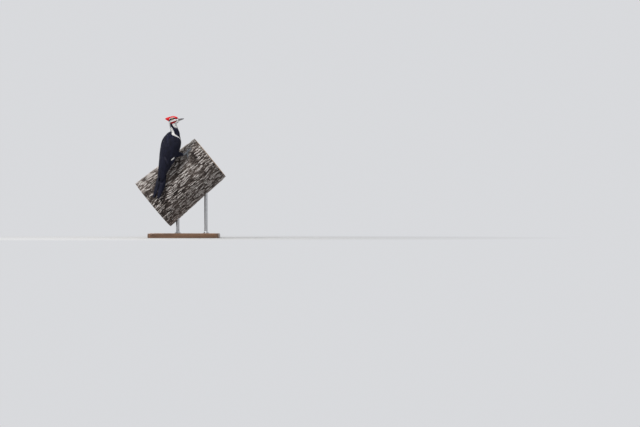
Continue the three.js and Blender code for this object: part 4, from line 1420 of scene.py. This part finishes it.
def make_crest(feathers, count=1300):
    """Long scarlet feathers from the forehead to the crest's point."""
    draw = np.random.default_rng(91)
    back = draw.random(count) ** 0.8
    root = lerp(26, -43, back)
    lowest = lerp(16, -95, fade(back, 0.47, 0.77))
    degrees = 90 + (draw.random(count) * 2 - 1) * (90 - lowest)
    reach = lerp(8, 24, fade(back, 0, 0.6)) * draw.uniform(0.8, 1.15, count)
    tip = np.maximum(root - reach, draw.uniform(-56.5, -48, count))
    start = np.column_stack([root, degrees])
    end = np.column_stack([tip, degrees + draw.normal(0, 7, count)])
    lift = np.column_stack([np.full(count, -2.2), draw.uniform(-1.1, 0.35, count)])
    strands = form_vanes(on_crest, crest_mm_per_degree, start, end, lerp(0.75, 1.25, back), lift, STRAND_ROWS,
                         outline(0.6, 0.7), 92, section=NARROW, ridge=0.22, thick=0.12)
    strands["marks"] = np.tile([0, 1, 0, 0], (strands["points"].size // 3, 1))
    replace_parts(feather_piece("crest_feathers", [strands], feathers, "crest"), "crest")


# ------------------------------------------------------------------ bill, eyes and claws


def bill_share(half, place):
    """How far out along one half of the bill a place is."""
    return np.clip((place - BILL_BASE) / (half["tip"] - BILL_BASE), 0, 1)


def bill_outside(half, place, across):
    """Height of the bill's outside at a place along it and a share of its half width."""
    t, side = bill_share(half, place), np.abs(across)
    outer = lerp(half["edge"], GAPE + half["tip_edge"], t) + half["bow"] * np.sin(np.pi * t)
    height = lerp(GAPE + half["sign"] * (GAPE_GAP + 0.7), outer, 1 - side**1.8)
    if half["sign"] > 0:
        # A raised line runs beside the culmen, over a shallow groove from the nostril.
        height = height + 0.34 * np.exp(-(((side - 0.48) / 0.1) ** 2)) * (1 - t) ** 0.6
        height = height - 0.42 * np.exp(-(((side - 0.66) / 0.1) ** 2)) * (1 - t)
    return height


def bill_width(half, place):
    """Half width of one half of the bill at a place along it."""
    return lerp(half["half"], BILL_TIP_HALF, bill_share(half, place) ** 0.9)


def bill_part(name, half, material):
    t = np.concatenate([np.linspace(0, 0.93, 44), [0.955, 0.975, 0.99]])[:, None]
    place = lerp(BILL_ROOT, half["tip"], t)
    across = np.linspace(-1, 1, 25)[None]
    blunt = rounding(np.clip(t, 0, 0.999), 0.001, 0.045)
    wide = bill_width(half, place) * lerp(0.4, 1.0, blunt)
    inner = GAPE + half["sign"] * GAPE_GAP
    outside = lerp(inner, bill_outside(half, place, across), lerp(0.35, 1.0, blunt))
    under = across[:, ::-1][:, 2:-2:4] * wide * 0.94
    rings = np.concatenate([xyz(across * wide, place, outside), xyz(under, place, inner)], 1)
    points, faces = closed_loft(rings)
    piece = add_mesh(name, bird_to_world(head_to_bird(points)), faces, material, "horn")
    turn_out(piece.data)
    along = (points[:, 1] - BILL_ROOT) / (UPPER_BILL["tip"] - BILL_ROOT)
    high = (points[:, 2] - LOWER_BILL["edge"]) / (UPPER_BILL["edge"] - LOWER_BILL["edge"])
    set_attribute(piece.data, "horn", np.column_stack([along, np.clip(high, 0, 1)]))
    return piece


def bill_tufts(feathers):
    """Short feathers forward over the bill's root: bristles over the nostrils, and white ones at the chin."""
    draw = np.random.default_rng(101)

    def group(half, count, shares, places, reaches, seed):
        side = np.where(draw.random(count) < 0.5, -1, 1)
        share = draw.uniform(*shares, count)
        root = draw.uniform(*places, count)
        reach = draw.uniform(*reaches, count) * lerp(0.6, 1.0, share.clip(0, 1))

        def over_bill(place, across, lift):
            across = np.clip(across, -1.1, 1.1)
            off = np.abs(across)
            x = across * bill_width(half, place) + np.sign(across) * lift * off
            z = bill_outside(half, place, np.clip(across, -1, 1)) + half["sign"] * lift * (1 - 0.5 * off)
            return head_to_bird(xyz(x, place, z))

        start = np.column_stack([root, side * share])
        end = np.column_stack([root + reach, side * share * draw.uniform(0.9, 1.05, count)])
        lift = np.column_stack([np.full(count, 0.1), draw.uniform(0.25, 0.75, count)])
        tufts = form_vanes(over_bill, lambda place: np.full_like(place, 6.0), start, end, 0.42, lift,
                           STRAND_ROWS, outline(0.6, 0.7), seed, section=NARROW, ridge=0.14, thick=0.08)
        # Those nearest the culmen are red like the forehead.
        red = fade(1 - share.clip(0, 1), 0.45, 0.6) * (half["sign"] > 0)
        white = (1 - red) * lerp(0.6, 1.0, draw.random(count))
        marks = np.column_stack([white, red, 0 * red, 0 * red])
        tufts["marks"] = np.repeat(marks, tufts["points"].shape[1], 0)
        return tufts

    nostril = group(UPPER_BILL, 300, (0.15, 1.05), (19, 26.5), (5, 8.5), 102)
    chin = group(LOWER_BILL, 420, (0.0, 1.08), (18, 27.5), (5, 9), 103)
    feather_piece("bill_tufts", [nostril, chin], feathers)


def make_eyes(material, around=48):
    polar = np.concatenate([np.linspace(0.01, 0.9, 30), np.linspace(1.0, math.pi - 0.05, 12)])[:, None]
    angle = turns(around)[None]
    # The cornea bulges a little over the iris.
    radius = EYE_RADIUS * (1 + 0.028 * (1 - fade(polar, 0.15, 0.62)))
    off = radius * np.sin(polar)
    ball = xyz(off * np.cos(angle), off * np.sin(angle), radius * np.cos(polar))
    from_pupil = np.concatenate([np.repeat(polar, around), [0, math.pi]])
    turned = np.concatenate([np.tile(angle[0] / TAU, len(polar)), [0.5, 0.5]])
    for side, name in ((-1, "left"), (1, "right")):
        middle, gaze, right, up = eye_frame(side)
        points, faces = closed_loft(middle + ball @ np.array([right, up, gaze]))
        piece = add_mesh("eyeball_" + name, bird_to_world(head_to_bird(points)), faces, material, "eye")
        set_attribute(piece.data, "gaze", np.column_stack([from_pupil, turned]))
        turn_out(piece.data)
        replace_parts(piece, "eye_" + name)


def make_claws(material):
    """Smooth curved claws over the CAD's faceted ones."""
    names = cad_names("claw_")
    bodies, rooted = [], []
    for name in names:
        rough = welded(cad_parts[name].data)
        points, quads = modified(rough, ("SUBSURF", {"levels": 2, "render_levels": 2}))
        foot = foot_centre(name.split("_")[1])
        away = np.linalg.norm(world_to_bird(points) - foot, axis=1)
        root = 1 - (away - away.min()) / np.ptp(away)
        # The root swells and runs back into the toe.
        inwards = unit(bird_to_world(foot) - points[root.argmax()])
        swell = (points - points[root > 0.75].mean(0)) * (0.3 * smooth(root * 1.4))[:, None]
        points = points + swell + inwards * (1.6 * MM * smooth(root * 1.6 - 0.6))[:, None]
        bodies.append((points, [quads]))
        rooted.append(root)
    claws = add_mesh("claws", *joined(bodies), material, "horn")
    set_attribute(claws.data, "root", np.concatenate(rooted))
    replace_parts(claws, *names)


# ------------------------------------------------------------------ limb and stand

BARK_ROWS, BARK_AROUND, BARK_SEED = 300, 640, 5
# The share of an end's radius that is wood, inside the bark, and how many checks open in it.
WOOD_SHARE, CHECKS = 0.92, 5


def bark_relief(along, angle):
    """Depth under the limb's full radius, how high a place stands, and each plate's own tone.

    Long plates lie along the limb, parted by furrows, cracked across and frayed into fibres.
    """
    noise.seed_set(BARK_SEED)
    x, y = LIMB_RADIUS * np.cos(angle), LIMB_RADIUS * np.sin(angle)
    depth, high, tone = (np.empty(len(x)) for _ in range(3))
    for i, (px, py, pz) in enumerate(zip(x.tolist(), y.tolist(), along.tolist())):
        sway = noise.noise_vector(Vector((px / 34, py / 34, pz / 52)))
        fine_sway = noise.noise_vector(Vector((px / 6, py / 6, pz / 11)))
        qx, qy = px + 8 * sway.x + 2.1 * fine_sway.x, py + 8 * sway.y + 2.1 * fine_sway.y
        qz = pz + 16 * sway.z + 5 * fine_sway.z
        gaps, seeds = noise.voronoi(Vector((qx / 8.2, qy / 8.2, qz / 62)))
        cracks, _ = noise.voronoi(Vector((qx / 5.5, qy / 5.5, qz / 17 + 9)))
        own = 0.5 + 0.5 * noise.cell(seeds[0] * 7.3)
        swell = 0.5 + 0.5 * noise.noise(Vector((px, py, pz)) / 55)
        split = abs(noise.fractal(Vector((qx / 3.4, qy / 3.4, qz / 26)), 0.7, 2.0, 4))
        rough = noise.fractal(Vector((px, py, pz)) / 3.1, 0.9, 2.0, 3)
        plate = min((gaps[1] - gaps[0]) / 0.4, 1.0)
        plate = plate * plate * (3 - 2 * plate)
        crack = 1 - min((cracks[1] - cracks[0]) / 0.22, 1.0)
        slit = 1 - min(split / 0.12, 1.0)
        relief = 5.4 * (1 - plate) * (0.6 + 0.5 * swell) + (1.5 * crack + 2.1 * slit) * plate
        worn = 1.8 * own * plate + 0.45 * rough
        depth[i] = max(0.0, relief + worn + 1.3 * (1 - swell))
        high[i] = 1 - (relief + 0.4 * worn) / 6.4
        tone[i] = own
    return depth, np.clip(high, 0, 1), tone


def contact_gap(points):
    """Millimetres from each point to the feet and the tail's tip."""
    tail = cad_points("tail")
    tail_tip = tail[world_to_bird(tail)[:, 2] < -205]
    there = np.concatenate([*map(cad_points, cad_names("toe_", "claw_")), tail_tip])
    tree = KDTree(len(there))
    for i, p in enumerate(there.tolist()):
        tree.insert(p, i)
    tree.balance()
    return np.array([tree.find(p)[2] for p in (points * MM).tolist()]) / MM


def make_limb(bark, wood):
    angle, along = np.meshgrid(turns(BARK_AROUND), np.linspace(LIMB_LOW, LIMB_HIGH, BARK_ROWS))
    full = LIMB_RADIUS - LIMB_TAPER * along
    # The saw leaves the bark's outline constant over the last few millimetres.
    carved = np.clip(along, LIMB_LOW + 2.5, LIMB_HIGH - 2.5)
    depth, high, tone = bark_relief(carved.ravel(), angle.ravel())
    clear = fade(contact_gap(on_limb(along, angle, full).reshape(-1, 3)), 2, 9)
    radius = full - (depth * lerp(0.1, 1.0, clear)).reshape(full.shape)
    # Where the relief is flattened under the feet and tail, the height that sets the bark's painted shade and
    # painted highlights is evened out as well.
    high = lerp(0.72, high, lerp(0.4, 1.0, clear))
    points, faces = closed_loft(on_limb(along, angle, radius))
    limb = add_mesh("limb_bark", points * MM, faces, bark, "bark")
    turn_out(limb.data)
    set_attribute(limb.data, "bark", np.concatenate([np.column_stack([high, tone]), [[0.2, 0.5]] * 2]))
    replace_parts(limb, "perch_limb")
    make_cut_end("limb_end_low", radius[1] - 0.4, angle[0], LIMB_LOW, -1, wood)
    make_cut_end("limb_end_high", radius[-2] - 0.4, angle[0], LIMB_HIGH, 1, wood)


def make_cut_end(name, rim, angle, place, out, material):
    """A sawn end: round wood with rings and checks that open towards its edge, inside a ring of bark."""
    draw = np.random.default_rng(111 + out)
    face = np.concatenate([np.linspace(1.0, WOOD_SHARE, 7), np.linspace(WOOD_SHARE, 0.01, 60)[1:]])
    level = np.concatenate([[-3.0, -3.0], np.full(len(face), 0.7)])[:, None]
    heart_x, heart_y = draw.uniform(-0.06, 0.06, 2)
    share, a = np.meshgrid(np.concatenate([[0.02, 1.0], face]), angle, indexing="ij")
    inner = rim.min() - 2.0
    in_bark = (share - WOOD_SHARE) / (1 - WOOD_SHARE)
    radius = np.where(share < WOOD_SHARE, share / WOOD_SHARE * inner, lerp(inner, rim[None], in_bark))
    check = np.zeros(share.shape)
    for k in range(CHECKS):
        at, deep = draw.uniform(0, TAU), draw.uniform(0.3, 0.75)
        off = np.abs(np.angle(np.exp(1j * (a - at - 0.04 * np.sin(share * 9 + k))))) * radius
        wide = 1.3 * fade(share, deep, WOOD_SHARE) + 0.02
        check = np.maximum(check, (1 - fade(off, wide * 0.5, wide)) * (share > deep))
    saw = 0.16 * np.sin(radius * np.cos(a - 0.6) * 1.7)
    height = level + (level > 0) * (saw - 2.2 * check - 0.9 * fade(share, WOOD_SHARE, 1.0))
    points, faces = closed_loft(on_limb(place + out * height, a, radius))
    piece = add_mesh(name, points * MM, faces, material, "bark")
    turn_out(piece.data)
    x, y = radius / inner * np.cos(a) - heart_x, radius / inner * np.sin(a) - heart_y
    ring = lerp(np.hypot(x, y), radius / inner, np.clip(radius / inner, 0, 1) ** 2)
    cut = xyz(ring, fade(share, WOOD_SHARE - 0.002, WOOD_SHARE + 0.012), check).reshape(-1, 3)
    set_attribute(piece.data, "cut", np.concatenate([cut, [[0, 1, 0], [0, 0, 0]]]))
    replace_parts(piece, "perch_limb")


BASE_WIDE, BASE_DEEP, BASE_CORNER = 340, 280, 26
# The board's side from its underside up and in over its top: inset from the outline, and height.
BASE_EDGE = [
    (3.2, 0), (1.4, 0.35), (0.4, 1.3), (0, 3), (0, 14.2), (0.5, 14.9), (1.3, 15.2), (1.3, 15.9), (0.5, 16.2),
    (0.2, 17), (0.3, 18.6), (0.9, 20.2), (2.0, 21.3), (3.6, 21.9), (5.5, 22.0), (30, 22.0), (90, 22.0),
]
# A rod's radius by height: in its socket, a collar on the board, and the start of the shaft.
ROD_RADIUS = 8
ROD_COLLAR = [
    (ROD_RADIUS, 21.8), (13.2, 21.9), (14, 22.5), (14, 25.4), (13.3, 26.2), (9.6, 26.4),
    (9.2, 27.2), (9.2, 31.4), (8.8, 32), (ROD_RADIUS, 32.2),
]


def make_base(material):
    """A rounded walnut board with softened edges and a shallow bead under its top."""
    rings = []
    for inset, z in BASE_EDGE:
        corner = max(BASE_CORNER - inset, 3)
        x, y = BASE_WIDE / 2 - inset - corner, BASE_DEEP / 2 - inset - corner
        ring = []
        for k, (sx, sy) in enumerate(((1, 1), (-1, 1), (-1, -1), (1, -1))):
            for a in np.linspace(k * TAU / 4, (k + 1) * TAU / 4, 15):
                ring.append((sx * x + corner * math.cos(a), sy * y + corner * math.sin(a), z))
        rings.append(ring)
    points, faces = closed_loft(np.array(rings, float))
    base = add_mesh("base_board", points * MM, faces, material, "stand_wood")
    turn_out(base.data)
    sharpen(base.data)
    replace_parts(base, "stand_base")


def make_rods(material):
    for name in ("stand_rod_low", "stand_rod_high"):
        low, high = (np.array(c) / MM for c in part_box(name))
        middle = (low + high) / 2
        shaft = [(ROD_RADIUS, z) for z in np.linspace(34, high[2], 12)]
        radius, height = np.array([(ROD_RADIUS, low[2]), *ROD_COLLAR, *shaft]).T[:, :, None]
        angle = turns(72)[None]
        rings = xyz(middle[0] + radius * np.cos(angle), middle[1] + radius * np.sin(angle), height)
        points, faces = closed_loft(rings)
        rod = add_mesh(name.replace("stand_", "") + "_steel", points * MM, faces, material, "stand_steel")
        turn_out(rod.data)
        sharpen(rod.data)
        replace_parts(rod, name)


# ------------------------------------------------------------------ floor, light and camera

ROOM, ROOM_LIGHT = (0.958, 0.97, 1.0), 0.72
FLOOR_NEAR, FLOOR_FAR, FLOOR_HALF = 0.35, 1.9, 60


def floor_material():
    """Pale matt floor that fades with distance into the pale room, so no edge shows."""
    n = Nodes("floor_pale")
    n.set(Base_Color=(0.4, 0.398, 0.395), Roughness=0.8, Specular_IOR_Level=0.2)
    away = n.node("VectorMath", {0: n.place()}, operation="LENGTH").outputs["Value"]
    room = n.node("Emission", {"Color": (*ROOM, 1), "Strength": ROOM_LIGHT}).outputs[0]
    faded = n.node("MixShader", {0: n.ramp(away, FLOOR_NEAR, FLOOR_FAR), 1: n.shader.outputs[0], 2: room})
    n.tree.links.new(faded.outputs[0], n.tree.nodes["Material Output"].inputs["Surface"])
    return n.material


def make_floor():
    mesh = bpy.data.meshes.new("floor")
    corners = [(x * FLOOR_HALF, y * FLOOR_HALF, 0) for x, y in ((-1, -1), (1, -1), (1, 1), (-1, 1))]
    mesh.from_pydata(corners, [], [(0, 1, 2, 3)])
    mesh.materials.append(floor_material())
    linked("floor", mesh)


def area_light(name, at, size, power, colour):
    """A round soft light at a place, turned to the bird."""
    data = bpy.data.lights.new(name, "AREA")
    data.shape, data.size, data.energy, data.color = "DISK", size, power, colour
    light = linked(name, data)
    light.location = at
    light.rotation_euler = (Vector((-0.05, -0.08, 0.35)) - Vector(at)).to_track_quat("-Z", "Y").to_euler()


def make_lights():
    area_light("key", (-1.7, -2.2, 2.6), 1.1, 128, (1.0, 0.985, 0.965))
    area_light("fill", (2.6, -1.9, 1.4), 2.2, 12, (0.94, 0.97, 1.0))
    area_light("rim", (-1.1, 2.5, 2.4), 1.8, 52, (0.97, 0.985, 1.0))
    world = bpy.data.worlds.new("pale_room")
    world.use_nodes = True
    background = world.node_tree.nodes["Background"].inputs
    background[0].default_value = (*ROOM, 1)
    background[1].default_value = ROOM_LIGHT
    bpy.context.scene.world = world


def make_camera():
    """Level, from the viewer's side; the bird stands left of and above the middle, small in the frame."""
    data = bpy.data.cameras.new("camera")
    data.lens, data.sensor_width, data.clip_start, data.clip_end = 200, 36, 0.1, 300
    camera = linked("camera", data)
    camera.location = BODY_CENTRE * MM + np.array([0.715, -16.9, -0.302])
    camera.rotation_euler = (math.radians(90), 0, 0)
    bpy.context.scene.camera = camera
    bpy.context.scene.view_settings.view_transform = "Standard"


# ------------------------------------------------------------------ the whole

make_camera()
make_floor()
make_lights()

body_feathers = feather_material("plumage_small", 9.0, 0.45)
flight_feathers = feather_material("plumage_long", 64.0, 0.12, 0.5, 0.35)
coat(Surface(*make_skin(skin_material())), body_feathers)
make_wings(flight_feathers)
make_tail(flight_feathers)
tail_coverts(flight_feathers)
make_crest(body_feathers)
bill_tufts(body_feathers)

horn = bill_material()
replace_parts(bill_part("bill_ridge", UPPER_BILL, horn), "bill_upper")
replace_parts(bill_part("bill_keel", LOWER_BILL, horn), "bill_lower")
make_eyes(eye_material())
make_claws(claw_material())

make_limb(bark_material(), cut_wood_material())
make_base(walnut_material())
make_rods(steel_material())
